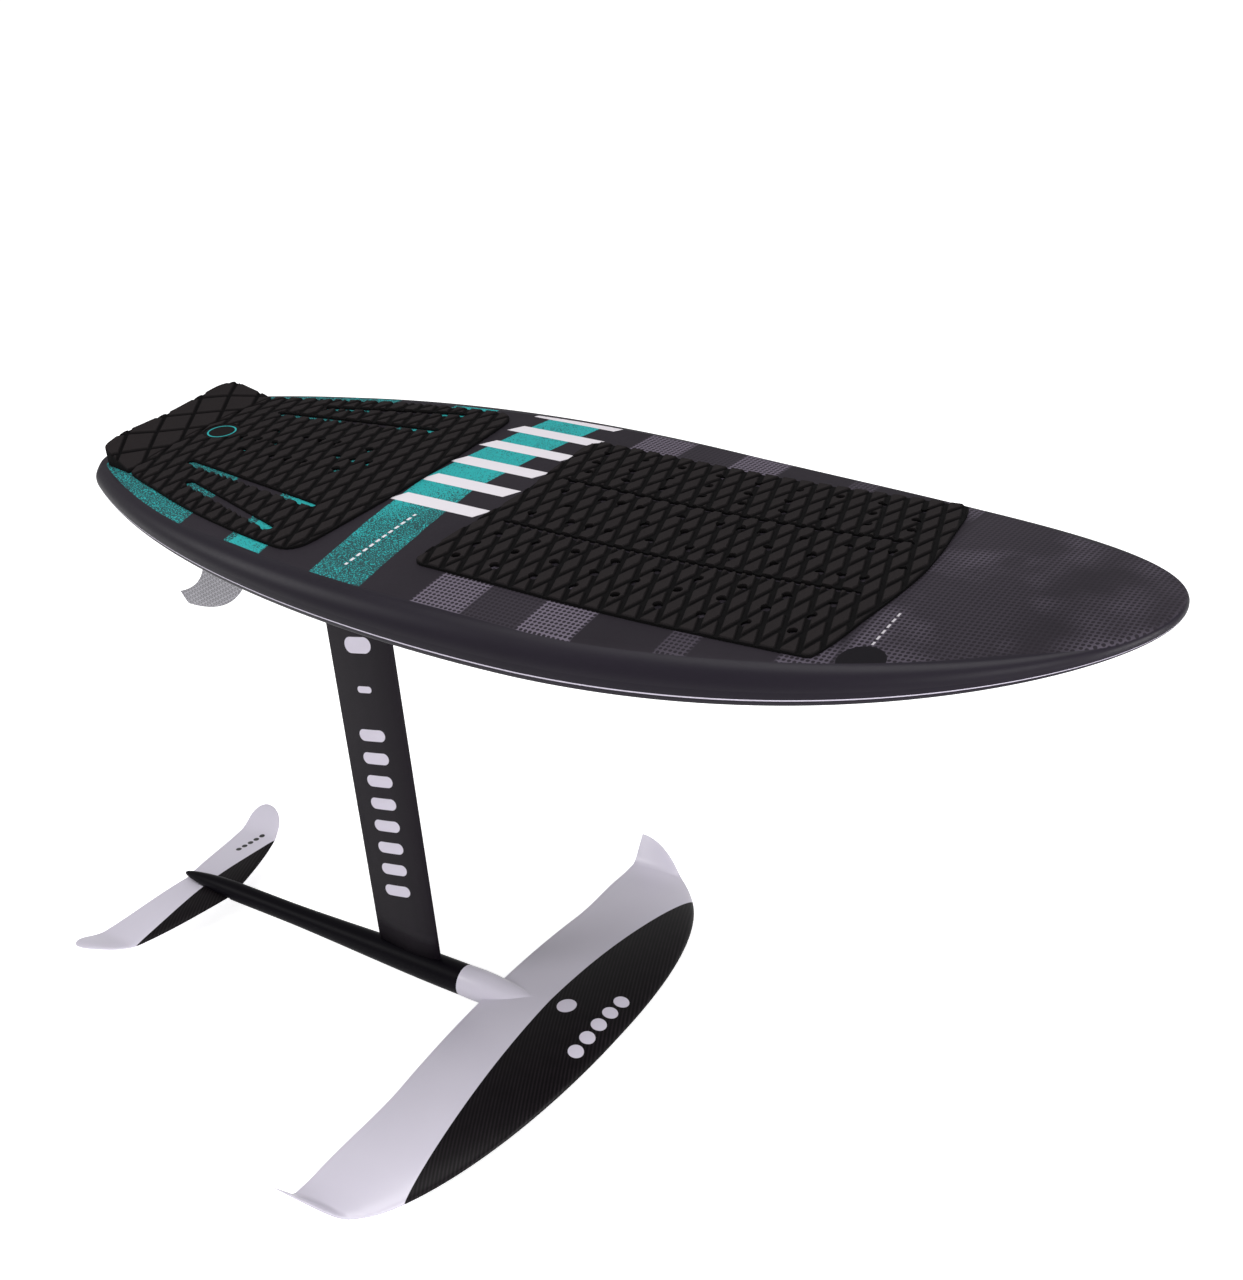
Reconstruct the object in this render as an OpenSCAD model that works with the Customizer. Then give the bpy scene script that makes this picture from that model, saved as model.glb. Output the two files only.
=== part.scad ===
// Hydrofoil surf board: board, pads and fins above, mast, fuselage and two wings below.
// +X points to the nose, +Y to port, +Z up. The origin is the centre of the flat rest face
// on the bottom of the hull, which is also the plane that the mast plate is bolted against.

/* [Board] */
// Length of the board from tail to nose
board_length = 1329; // [1250:1:1400]
// Greatest width of the board
board_width = 520; // [480:1:560]
// Thickness at the middle of the rail
rail_thickness = 59; // [50:1:70]
// How far the bottom edge rises at the nose
nose_rise = 84; // [60:1:110]
// How far the bottom edge rises at the tail
tail_rise = 28; // [15:1:35]
// Height of the deck's crown across the widest part
deck_crown = 12; // [6:0.5:16]
// Thickness of the deck and hull laminates
skin = 1.8; // [1.2:0.1:2.4]

/* [Pads] */
// Thickness of the foam pads
pad_t = 5; // [4:0.5:8]
// Height of the tail kick above the deck
kick_h = 24; // [18:1:32]

/* [Foil] */
// Distance from the hull to the fuselage axis
foil_depth = 718; // [600:1:800]
// Chord of the mast
mast_chord = 110; // [105:1:125]
// Greatest thickness of the mast
mast_t = 15; // [15:0.5:18]
// Half span of the front wing
front_half_span = 418; // [380:1:450]
// Half span of the rear wing
rear_half_span = 205; // [185:1:220]

/* [Track] */
// Distance between the centre lines of the two tracks
track_gap = 90; // [90:1:92]
// Travel of the mast plate each way from the middle of the tracks
slide_travel = 25; // [15:1:25]

/* [Hidden] */
$fn = 48;

gap = 0.2;             // clearance between faces that slide or are only clamped
bore_gap = 0.05;       // radial clearance of a screw in its thread or hole

// ---------- small helpers ----------
function mix(a, b, f) = a + (b - a) * f;
function clamp01(f) = max(0, min(1, f));
function smooth(f) = let (c = clamp01(f)) c * c * (3 - 2 * c);
// 0 below -w and t above w, with a parabola between; and the slope of that.
function soft_ramp(t, w) = t <= -w ? 0 : t >= w ? t : pow(t + w, 2) / (4 * w);
function soft_slope(t, w) = clamp01((t + w) / (2 * w));
function bezier(p, t) = let (s = 1 - t)
    s * s * s * p[0] + 3 * s * s * t * p[1] + 3 * s * t * t * p[2] + t * t * t * p[3];
function reversed(list) = [for (i = [len(list) - 1 : -1 : 0]) list[i]];
function mirrored(p) = [p.x, -p.y, p.z];

// A closed body through rings that all have the same number of points. The first half of a ring
// runs out along one side and the second half comes back along the other, so a strip closes the ends.
module loft(rings) {
    n = len(rings[0]);
    last = (len(rings) - 1) * n;
    points = [for (ring = rings) each ring];
    sides = [for (j = [0 : len(rings) - 2], i = [0 : n - 1], half = [0, 1])
        let (a = j * n + i, b = j * n + (i + 1) % n)
            half == 0 ? [a, b, b + n] : [a, b + n, a + n]];
    cap = [for (i = [0 : ceil(n / 2) - 2], half = [0, 1])
        let (j = n - 1 - i)
            if (half == 0 || i + 1 < j - 1) half == 0 ? [i, j - 1, j] : [i, i + 1, j - 1]];
    polyhedron(points, concat([for (face = cap) reversed(face)], sides,
                              [for (face = cap) [for (i = face) i + last]]));
}

// A thin shell between two grids of the same size, closed around their common border.
module shell(outer, inner) {
    rows = len(outer);
    cols = len(outer[0]);
    count = rows * cols;
    function at(r, c) = r * cols + c;
    border = concat([for (c = [0 : cols - 2]) at(0, c)],
                    [for (r = [0 : rows - 2]) at(r, cols - 1)],
                    [for (c = [cols - 1 : -1 : 1]) at(rows - 1, c)],
                    [for (r = [rows - 1 : -1 : 1]) at(r, 0)]);
    skin_faces = [for (r = [0 : rows - 2], c = [0 : cols - 2], side = [0, 1], half = [0, 1])
        let (a = at(r, c) + side * count, b = a + 1, d = a + cols, e = d + 1,
             face = half == 0 ? [a, b, e] : [a, e, d])
            side == 0 ? face : reversed(face)];
    edge_faces = [for (i = [0 : len(border) - 1], half = [0, 1])
        let (a = border[i], b = border[(i + 1) % len(border)])
            half == 0 ? [b, a, a + count] : [b, a + count, b + count]];
    polyhedron(concat([for (row = outer) each row], [for (row = inner) each row]),
               concat(skin_faces, edge_faces));
}

// ---------- board form ----------
nose_x = 0.5847 * board_length;      // the rest face is under the front foot, behind the middle
tail_x = nose_x - board_length;
half_w = board_width / 2;
wide_x = 30;                         // where the board is widest
low_x = 190;                         // where its bottom edge is lowest
low_edge = -10.5;
flat_half = 70;                      // half width of the flat strip along the bottom
flat_front = 110;
flat_back = -400;
plate_plane = -0.3;                  // the flat strip; the rest face is milled into it at z = 0
corner_w = 135;                      // half width where the tail corner begins
corner_x = tail_x + 17;
tail_w = 95;                         // half width of the straight stern edge
tip_t = 12;                          // thickness left at the nose
seam = 0.15;                         // glue line between the two skins at the parting line
parting = 0.42;                      // height of that line, as a share of the rail
stern_loss = 28;                     // how much thinner the stern is than the middle
flat_blend = 250;                    // length over which the flat strip fades into the bottom

nose_curve = [[wide_x, half_w], [wide_x + 330, half_w], [nose_x, 160], [nose_x, 0]];
tail_curve = [[wide_x, half_w], [wide_x - 240, half_w], [corner_x + 135, 213], [corner_x, corner_w]];
corner_curve = [[corner_x, corner_w], [corner_x - 10, corner_w - 6], [tail_x, 118], [tail_x, tail_w]];

// Plan outline as [x, half width], from the stern to the nose.
outline = concat([for (t = [1 : -0.34 : 0.2]) bezier(corner_curve, t)],
                 [for (t = [1 : -0.08 : 0.1]) bezier(tail_curve, t)],
                 [for (t = [0 : 0.07 : 0.99]) bezier(nose_curve, t)]);

// Shares of the way from the lowest point of the bottom to the stern and to the nose.
function aft(x) = (low_x - x) / (low_x - tail_x);
function ahead(x) = (x - low_x) / (nose_x - low_x);
function edge_z(x) = low_edge + (x < low_x ? tail_rise * pow(aft(x), 1.3) : nose_rise * pow(ahead(x), 2.1));
function rail_t(x) = rail_thickness - (x < low_x ? stern_loss * pow(aft(x), 1.75)
                                                 : (rail_thickness - tip_t) * pow(ahead(x), 2.5));
function crown(w) = deck_crown * min(1, w / 200);
function keel_z(x) = let (beyond = max(x - flat_front, flat_back - x, 0))
    mix(plate_plane, edge_z(x), smooth(beyond / flat_blend));
function width_at(x, list = outline, i = 0) = let (a = list[i], b = list[i + 1])
    i >= len(list) - 2 || b.x >= x ? mix(a.y, b.y, clamp01((x - a.x) / (b.x - a.x)))
                                   : width_at(x, list, i + 1);
function deck_z(x, y) = let (w = width_at(x)) edge_z(x) + rail_t(x) - crown(w) * pow(y / w, 2);
function bottom_z(x, y) = let (w = width_at(x))
    mix(keel_z(x), edge_z(x), smooth((abs(y) - flat_half) / (w - flat_half)));

// Half sections from the centre line out to the rail, inset by d from the outer surface.
function apex_z(x, w) = edge_z(x) + parting * (rail_t(x) - crown(w));
function deck_half(x, w, d) =
    let (top = edge_z(x) + rail_t(x), t = rail_t(x) - crown(w), r = min(0.5 * t, 0.6 * w) - d,
         flat = w - d - r, rim = top - d - crown(w) * pow(flat / w, 2), apex = apex_z(x, w))
    concat([for (f = [0 : 0.2 : 0.99]) [x, flat * f, top - d - crown(w) * pow(flat * f / w, 2)]],
           [for (a = [0 : 18 : 90]) [x, flat + r * sin(a), apex + (rim - apex) * cos(a)]]);
function hull_half(x, w, d) =
    let (t = rail_t(x) - crown(w), tuck = max(min(0.14 * t, 0.2 * w) - d, 0.5), flat = w - d - tuck,
         edge = edge_z(x) + d, keel = keel_z(x) + d, apex = apex_z(x, w) - seam,
         strip = min(flat_half, 0.4 * w))
    concat([[x, 0, keel]],
           [for (f = [0 : 0.25 : 0.99]) [x, mix(strip, flat, f), mix(keel, edge, smooth(f))]],
           [for (a = [0 : 22.5 : 90]) [x, flat + tuck * sin(a), apex - (apex - edge) * cos(a)]]);
function whole_row(half) = concat([for (i = [len(half) - 1 : -1 : 1]) mirrored(half[i])], half);
function pulled_in(p, d) = let (mid = (nose_x + tail_x) / 2)
    [mid + (p.x - mid) * (1 - 2 * d / board_length), p.y];
function at_height(row, z) = [for (p = row) [p.x, p.y, z]];
// Rows of one skin, with the first and last dropped to the parting line to close the ends.
function capped(rows) = concat([at_height(rows[0], rows[0][0].z)], rows,
                               [at_height(rows[len(rows) - 1], rows[len(rows) - 1][0].z)]);
function deck_row(p, d) = let (q = pulled_in(p, d)) whole_row(deck_half(q.x, q.y, d));
function hull_row(p, d) = let (q = pulled_in(p, d)) whole_row(hull_half(q.x, q.y, d));
function deck_rows(d) = capped([for (p = outline) deck_row(p, d)]);
function hull_rows(d) = capped([for (p = outline) hull_row(p, d)]);

// ---------- board pieces ----------
bolt_span = 165;                     // from the front bolts of the mast plate to the back ones
nut = [20, 16.4, 6];
track_l = bolt_span + nut.x + 2 * slide_travel + 19;
slot_l = track_l - 14;               // room for the nuts in a track, with a little to spare
track_w = 24;
track_h = 20;
mast_x = -265;                       // middle of the mast's chord, and of the tracks
fin_x = -294;
fin_y = 166;
fin_box = [72, 18, 16];
block = [290, 136, 42];
rest_face = [210, 130];              // milled area on the bottom
below = 5;                           // how far a cutter starts under the face it opens
bolt_slot_w = 9.4;
nut_slot_w = 17;
nut_slot_z = 5;

module box_space(x, y, z, size) translate([x - size.x / 2, y - size.y / 2, z]) cube(size);
module track_space(extra, height) for (side = [-1, 1])
    box_space(mast_x, side * track_gap / 2, -below,
              [track_l + 2 * extra, track_w + 2 * extra, height + below]);
module fin_space(extra, height) for (side = [-1, 1])
    box_space(fin_x, side * fin_y, -2 * below,
              [fin_box.x + 2 * extra, fin_box.y + 2 * extra, height + 2 * below]);

module deck_skin() color("#3a363e") shell(deck_rows(0), deck_rows(skin));

module hull_skin() color("#2d2935") difference() {
    shell([for (row = hull_rows(0)) reversed(row)], [for (row = hull_rows(skin)) reversed(row)]);
    track_space(gap, 10);
    fin_space(gap, 18);
    box_space(0, 0, -below, [rest_face.x, rest_face.y, below]);
}

module foam_core() color("#f2efe6") difference() {
    d = skin + gap;
    loft([for (p = outline) concat(deck_row(p, d), reversed(hull_row(p, d)))]);
    box_space(mast_x, 0, -below, [block.x + 2 * gap, block.y + 2 * gap, block.z + below + gap]);
    fin_space(gap, fin_floor + fin_box.z + gap);
}

module core_block() color("#c9b27a") difference() {
    box_space(mast_x, 0, skin + gap, [block.x, block.y, block.z - skin - gap]);
    track_space(gap, track_h + gap);
}

module track_box(side) color("#202022")
    translate([mast_x, side * track_gap / 2, plate_plane]) difference() {
        box_space(0, 0, 0, [track_l, track_w, track_h]);
        box_space(0, 0, -1, [slot_l, bolt_slot_w, nut_slot_z + 3]);
        box_space(0, 0, nut_slot_z, [slot_l, nut_slot_w, 11]);
    }
module track_box_left() track_box(1);
module track_box_right() track_box(-1);

fin_floor = bottom_z(fin_x, fin_y);
tab = [60, 6, 12];
grub_x = 18;
grub_y = 5.6;
grub_r = 2.5;
hex_key = 2.6;
module grub_holes(r, l) for (dx = [-grub_x, grub_x])
    translate([dx, grub_y, -0.01]) cylinder(r = r, h = l);
module fin_box_part(side) color("#202022") translate([fin_x, side * fin_y, fin_floor]) difference() {
    box_space(0, 0, 0, fin_box);
    box_space(0, 0, -1, [tab.x + 2 * gap, tab.y + 2 * gap, tab.z + 1 + gap]);
    grub_holes(grub_r + bore_gap, 10);
}
module fin_box_left() fin_box_part(1);
module fin_box_right() fin_box_part(-1);
module fin_screws() color("#b8bcc0") for (side = [-1, 1])
    translate([fin_x, side * fin_y, fin_floor]) difference() {
        translate([0, 0, 0.5]) grub_holes(grub_r, 8);
        for (dx = [-grub_x, grub_x]) translate([dx, grub_y, 0]) cylinder(d = hex_key, h = 3, $fn = 6);
    }

// A section through a wing or fin: chord c, thickness ratio t and camber m, nose at x = 0.
function foil_half(f, t) =
    5 * t * (0.2969 * sqrt(f) - 0.126 * f - 0.3516 * f * f + 0.2843 * pow(f, 3) - 0.1036 * pow(f, 4));
function foil_ring(c, t, m, n) = let (edge = 0.4)
    [for (i = [-n : n]) let (f = pow(sin(90 * i / n), 2), side = i < 0 ? 1 : -1)
        [-c * f, c * m * 4 * f * (1 - f) + side * (c * foil_half(f, t) + edge * f)]];

fin_cant = 5;
fin_ratio = 0.08;                                         // thickness over chord
fin_drop = 1.5;                                           // from the hull down to the root of the blade
fin_front = [[44, 0], [34, 48], [4, 92], [-72, 90]];      // leading edge as [x, depth]
fin_back = [[-44, 0], [-30, 34], [-44, 62], [-84, 76]];   // trailing edge
module fin(side) color("#8c8c92") translate([fin_x, side * fin_y, fin_floor]) {
    rotate([side * fin_cant, 0, 0]) loft([for (t = [0 : 0.1 : 1])
        let (a = bezier(fin_front, t), b = bezier(fin_back, t), c = norm(a - b))
        [for (p = reversed(foil_ring(c, fin_ratio, 0, 8)))
            let (q = mix(a, b, -p.x / c)) [q.x, p.y, -fin_drop - q.y]]]);
    box_space(0, 0, -2 * fin_drop, [tab.x, tab.y, tab.z + 2 * fin_drop]);
}
module fin_left() fin(1);
module fin_right() fin(-1);

// ---------- pads ----------
lift = 0.6;                          // glue line between a pad and the deck
rear_pad_front = -117;
rear_pad_back = -478;
kick_back = -530;
front_pad_back = [2, 18];            // x at the side edge and on the centre line
front_pad_front = [486, 518];
front_pad_w = 175;
rim_inset = 36;                      // from the board's outline in to the rear pad
rear_pad_bow = 21;
rear_pad_max = 205;                  // its greatest half width
kick_back_w = 116;

// A pad between a back and a front edge, each a function of y, with half width(f) and height(f)
// along its length f. Its underside follows the deck.
module pad_solid(back, front, width, height) loft([for (f = [0 : 0.1 : 1])
    let (row = [for (i = [-6 : 6]) let (y = width(f) * i / 6, x = mix(back(y), front(y), f))
                    [x, y, deck_z(x, y) + lift]])
    concat(row, [for (p = reversed(row)) p + [0, 0, height(f)]])]);
function kink(y) = clamp01((abs(y) - 30) / (front_pad_w - 30));

pad_hole = 11;
hole_step = 51;
hole_first = 60;                     // x of the first hole of the middle rows
hole_y = 32;
outer_holes = [[54, 88], [46, 116], [42, 148]];   // first x and the y of the outer rows
front_slots = [[[42, 60], [475, 60]]];
front_slot_w = 7;
rear_slots = [[[-418, 83], [-193, 116]], [[-378, 126], [-200, 179]]];
rear_slot_w = 12;
rear_hole_x = -305;                  // middle of the rear pad's holes
through = 200;                       // longer than any pad is high above the rest face
module hole(x, y) translate([x, y, 0]) cylinder(d = pad_hole, h = through, $fn = 24);
module slots(list, w) for (slot = list, side = [-1, 1]) let (a = slot[0], b = slot[1])
    scale([1, side, 1]) translate([a.x, a.y, 0]) rotate([0, 0, atan2(b.y - a.y, b.x - a.x)]) {
        translate([0, -w / 2, 0]) cube([norm(b - a), w, through]);
        for (x = [0, norm(b - a)]) translate([x, 0, 0]) cylinder(d = w, h = through, $fn = 24);
    }

module front_pad() color("#1c1b1d") difference() {
    pad_solid(function (y) mix(front_pad_back[1], front_pad_back[0], kink(y)),
              function (y) mix(front_pad_front[1], front_pad_front[0], kink(y)),
              function (f) front_pad_w, function (f) pad_t);
    slots(front_slots, front_slot_w);
    for (i = [0 : 8]) {
        for (side = [-1, 1]) {
            hole(hole_first + hole_step * i, side * hole_y);
            for (p = outer_holes) hole(p.x + hole_step * i, side * p.y);
        }
        if (i % 3 == 1) for (side = [-1, 1]) hole(hole_first + hole_step * (i + 0.5), side * hole_y);
        else hole(hole_first + hole_step * (i + 0.5), 0);
    }
}

function rear_pad_w(x) = min(width_at(x) - rim_inset, rear_pad_max);
module rear_pad() color("#1c1b1d") difference() {
    pad_solid(function (y) rear_pad_back,
              function (y) rear_pad_front - rear_pad_bow * pow(y / 200, 2),
              function (f) rear_pad_w(mix(rear_pad_back, rear_pad_front - rear_pad_bow, f)),
              function (f) pad_t);
    slots(rear_slots, rear_slot_w);
    for (i = [-4 : 4]) let (x = rear_hole_x + hole_step / 2 * i) {
        if (abs(i) >= 2) hole(x, 0);
        if (i % 2 != 0 || i == 0) for (side = [-1, 1]) hole(x, side * (hole_y - 1));
    }
}

module tail_kick() color("#1c1b1d") pad_solid(
    function (y) kick_back, function (y) rear_pad_back - 1,
    function (f) mix(kick_back_w, rear_pad_w(rear_pad_back), f),
    function (f) mix(kick_h, pad_t, smooth((f - 0.15) / 0.85)));

// ---------- mast plate and its fasteners ----------
plate = [190, 116, 8];
plate_r = 14;                        // corner radius
plate_top = plate_plane - gap;
washer_t = 1.6;
bolt_r = 4;
bolt_head = 4.4;
nut_z = 5.2;
screw_r = 3;                         // of the screws in the mast and the front wing
csk_r = 6;                           // countersunk head
csk_h = 3;
head_screws = [-32, 0, 30];          // x of the screws in the mast's top, from its middle
module at_bolts() for (sx = [-1, 1], sy = [-1, 1])
    translate([mast_x + sx * bolt_span / 2, sy * track_gap / 2, 0]) children();
module at_mast_screws() for (x = head_screws) translate([mast_x + x, 0, 0]) children();

module base_plate() color("#26262a") difference() {
    translate([mast_x, 0, plate_top - plate.z]) hull() for (sx = [-1, 1], sy = [-1, 1])
        translate([sx * (plate.x / 2 - plate_r), sy * (plate.y / 2 - plate_r), 0])
            cylinder(r = plate_r, h = plate.z);
    at_bolts() translate([0, 0, plate_top - plate.z - 1]) cylinder(r = bolt_r + bore_gap, h = plate.z + 2);
    at_mast_screws() {
        translate([0, 0, plate_top - plate.z - 1]) cylinder(r = screw_r + bore_gap, h = plate.z + 2);
        translate([0, 0, plate_top - csk_h - gap])
            cylinder(r1 = screw_r + bore_gap, r2 = csk_r + 2 * gap, h = csk_h + gap + 0.1);
    }
}

module plate_washers() color("#c4c7ca") at_bolts() difference() {
    translate([0, 0, plate_top - plate.z - washer_t]) cylinder(r = 2 * bolt_r, h = washer_t);
    translate([0, 0, plate_top - plate.z - washer_t - 1]) cylinder(r = bolt_r + bore_gap, h = washer_t + 2);
}

module plate_bolts() color("#c4c7ca") at_bolts() {
    head_z = plate_top - plate.z - washer_t;
    translate([0, 0, head_z]) cylinder(r = bolt_r, h = nut_z + nut.z + 1.5 - head_z);
    translate([0, 0, head_z - bolt_head]) difference() {
        cylinder(r1 = 5.2, r2 = 7, h = bolt_head);
        translate([0, 0, -1]) cylinder(d = 5.8, h = 3.6, $fn = 6);
    }
}

module track_nuts() color("#b8a468") at_bolts() difference() {
    box_space(0, 0, nut_z, nut);
    translate([0, 0, nut_z - 1]) cylinder(r = bolt_r + bore_gap, h = nut.z + 2);
}

module mast_head_screws() color("#c4c7ca") at_mast_screws() {
    translate([0, 0, plate_top - 30]) cylinder(r = screw_r, h = 28);
    translate([0, 0, plate_top - csk_h - gap]) difference() {
        cylinder(r1 = screw_r, r2 = csk_r, h = csk_h);
        translate([0, 0, 1]) cylinder(d = 3.8, h = csk_h, $fn = 6);
    }
}

// ---------- mast and fuselage ----------
axis_z = -foil_depth;
mast_front = mast_x + mast_chord / 2;
fuse_front = -170;                   // where the black bar meets the front wing's collar
fuse_back = -711;
cap_r = 5;                           // head of a cap screw
foot_seat = 12;                      // from the axis down to the seats of the mast's screws
wing_seat = 18;                      // and of the front wing's
spigot_l = 68;
spigot_r = 15;
collar_r = 22;
seat_front = -608;                   // the rear wing sits under the bar behind here
seat_z = axis_z - 4.5;
foot_screws = [-34, 0, 34];          // x of the screws in the mast's foot, from its middle

// Radius of the bar: slender behind the mast, full at the front, a long cone to the tail tip.
fuse_profile = [[fuse_back, 1], [-706, 3.4], [-690, 7.2], [-665, 10.6], [-635, 13.2], [-600, 14.3],
                [-560, 14.4], [-477, 15], [-390, 17.2], [-320, 19.4], [-260, 21], [-210, 21.8],
                [fuse_front, collar_r]];
module bar(extra) translate([0, 0, axis_z]) rotate([0, 90, 0]) rotate_extrude($fn = 64)
    polygon(concat([[0, fuse_back]], [for (p = fuse_profile) [p.y + extra, p.x]], [[0, fuse_front]]));

module at_foot_screws() for (x = foot_screws) translate([mast_x + x, 0, axis_z]) children();
module mast() color("#29272c") difference() {
    translate([mast_front, 0, axis_z]) linear_extrude(height = foil_depth + plate_top - plate.z - gap)
        polygon(foil_ring(mast_chord, mast_t / mast_chord, 0, 20));
    bar(gap);
    at_mast_screws() translate([0, 0, plate_top - 32]) cylinder(r = screw_r + bore_gap, h = 40);
    at_foot_screws() cylinder(r = screw_r + bore_gap, h = 50);
}

module fuselage() color("#1b1a1e") difference() {
    union() {
        bar(0);
        translate([fuse_front - 1, 0, axis_z]) rotate([0, 90, 0]) cylinder(r = spigot_r, h = spigot_l + 1);
    }
    translate([fuse_back - 10, -20, seat_z - 40]) cube([seat_front - fuse_back + 10, 40, 40]);
    at_foot_screws() translate([0, 0, -40]) {
        cylinder(r = screw_r + bore_gap, h = 80);
        cylinder(r = cap_r + 3 * gap, h = 40 - foot_seat);
    }
    at_wing_screws() translate([0, 0, -20]) cylinder(r = screw_r + bore_gap, h = 27);
    at_tail_screws() translate([0, 0, -2]) cylinder(r = tail_screw_r + bore_gap, h = 10);
}

// A cap screw pointing up, with the seat of its head at z = 0.
module cap_screw(r, length, head_r, head_h, key) {
    cylinder(r = r, h = length);
    translate([0, 0, -head_h]) difference() {
        cylinder(r = head_r, h = head_h);
        translate([0, 0, -1]) cylinder(d = key, h = head_h - 0.1, $fn = 6);
    }
}
module mast_foot_screws() color("#c4c7ca") at_foot_screws()
    translate([0, 0, -foot_seat]) cap_screw(screw_r, 50, cap_r, 5, 5);

// ---------- front wing ----------
front_le = 86.5;                     // leading edge at the root
front_te = -124.5;
front_sweep = 233;                   // depth of the elliptical leading edge
front_te_sweep = 22.5;
front_droop = 40;                    // how far the wing drops by droop_y
droop_y = 337;
level_y = 362;                       // the droop stops growing here
crease_y = 0.935 * front_half_span;  // where the winglet turns up
crease_r = 6;                        // half width of the bend there
winglet_angle = 54;
wing_screws = [-152, -118];

function front_le_x(y) = front_le - front_sweep * (1 - sqrt(max(0, 1 - pow(y / front_half_span, 2))));
function front_te_x(y) = front_te - front_te_sweep * smooth((abs(y) - 200) / 190);
function front_z(y) = -front_droop * pow((abs(y) - soft_ramp(abs(y) - level_y, 12)) / droop_y, 2)
                      + tan(winglet_angle) * soft_ramp(abs(y) - crease_y, crease_r);
function front_ring(y) = let (
    out = abs(y) / front_half_span, le = front_le_x(y), chord = max(4, le - front_te_x(y)),
    lean = sign(y) * atan(tan(winglet_angle) * soft_slope(abs(y) - crease_y, crease_r)),
    camber = mix(0.03, 0.012, out), pitch = 2 * (1 - out))
    [for (p = foil_ring(chord, mix(0.135, 0.08, out), camber, 12))
        let (up = p.y + (chord + p.x) * sin(pitch))
            [le + p.x, y - up * sin(lean), axis_z + front_z(y) + up * cos(lean)]];
tip_shares = [0.87, 0.9, 0.921, 0.93, 0.94, 0.95, 0.962, 0.975, 0.987, 0.994, 0.998];
front_stations = concat([for (f = [0 : 0.1 : 0.99]) 0.87 * f], tip_shares) * front_half_span;
function both_sides(list) = concat([for (i = [len(list) - 1 : -1 : 1]) -list[i]], list);

module at_wing_screws() for (x = wing_screws) translate([x, 0, axis_z]) children();
module front_wing() color("#bab6c4") difference() {
    union() {
        loft([for (y = reversed(both_sides(front_stations))) front_ring(y)]);
        translate([0, 0, axis_z]) rotate([0, 90, 0]) rotate_extrude($fn = 40)
            polygon([[0, fuse_front + gap], [collar_r, fuse_front + gap], [22.8, -150], [22.6, -128],
                     [20, -104], [14, -82], [6, -68], [0, -66]]);
    }
    translate([fuse_front - 1, 0, axis_z]) rotate([0, 90, 0])
        cylinder(r = spigot_r + bore_gap, h = spigot_l + 2);
    at_wing_screws() {
        translate([0, 0, -30]) cylinder(r = screw_r + bore_gap, h = 30);
        translate([0, 0, -30]) cylinder(r = cap_r + 2 * gap, h = 30 - wing_seat);
    }
}
module front_wing_screws() color("#c4c7ca") at_wing_screws()
    translate([0, 0, -wing_seat]) cap_screw(screw_r, 23, cap_r, 4, 4);

// ---------- rear wing ----------
rear_le = -617;                      // edges on the centre line
rear_te = -711.5;
rear_sweep = 72;
rear_te_slope = 0.19;
rear_root_z = -10.5;
rear_round_y = 172;                  // the tips round off outside here
shim_t = 1;
tail_screws = [-662, -630];
tail_screw_r = 2.5;
tail_cap_r = 4.4;
tail_seat = 7.5;                     // from the bar's seat down to the seats of the screws
function rear_le_x(y) = rear_le - rear_sweep * pow(abs(y) / 190, 1.3);
function rear_te_x(y) = rear_te - rear_te_slope * abs(y);
function rear_z(y) = rear_root_z - 12 * smooth(abs(y) / 165) + 17 * smooth((abs(y) - 145) / 62);
function rear_ring(y) = let (
    close = sqrt(max(0.004, 1 - pow(max(0, abs(y) - rear_round_y) / (rear_half_span - rear_round_y), 2))),
    mid = mix(rear_le_x(y), rear_te_x(y), 0.6), chord = (rear_le_x(y) - rear_te_x(y)) * close,
    le = mid + 0.6 * chord)
    [for (p = foil_ring(chord, 0.1, 0, 10)) [le + p.x, y, axis_z + rear_z(y) + p.y]];
rear_stations = concat([for (i = [0 : 8]) rear_round_y * i / 8],
                       [for (f = [0.3, 0.55, 0.75, 0.9, 0.98, 1]) mix(rear_round_y, rear_half_span, f)]);

module at_tail_screws() for (x = tail_screws) translate([x, 0, seat_z]) children();
module rear_wing() color("#c6c2ce") difference() {
    loft([for (y = reversed(both_sides(rear_stations))) rear_ring(y)]);
    translate([rear_te - below, -16, seat_z - shim_t - gap]) cube([rear_le - rear_te + 2 * below, 32, 20]);
    at_tail_screws() translate([0, 0, -30]) {
        cylinder(r = tail_screw_r + bore_gap, h = 40);
        cylinder(r = tail_cap_r + 2 * gap, h = 30 - tail_seat);
    }
}
module rear_wing_shim() color("#8d8f94") difference() {
    translate([tail_screws[0] - 16, -9, seat_z - shim_t - gap / 2]) cube([64, 18, shim_t]);
    at_tail_screws() translate([0, 0, -5]) cylinder(r = tail_screw_r + bore_gap, h = 10);
}
module rear_wing_screws() color("#c4c7ca") at_tail_screws()
    translate([0, 0, -tail_seat]) cap_screw(tail_screw_r, 14.5, tail_cap_r, 3, 3);

deck_skin();
hull_skin();
foam_core();
core_block();
track_box_left();
track_box_right();
fin_box_left();
fin_box_right();
fin_left();
fin_right();
fin_screws();
front_pad();
rear_pad();
tail_kick();
base_plate();
plate_bolts();
plate_washers();
track_nuts();
mast();
mast_head_screws();
fuselage();
mast_foot_screws();
front_wing();
front_wing_screws();
rear_wing();
rear_wing_shim();
rear_wing_screws();
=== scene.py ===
import math
from bisect import bisect_right
from functools import reduce

import bmesh
import bpy
from mathutils import Matrix, Vector


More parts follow.
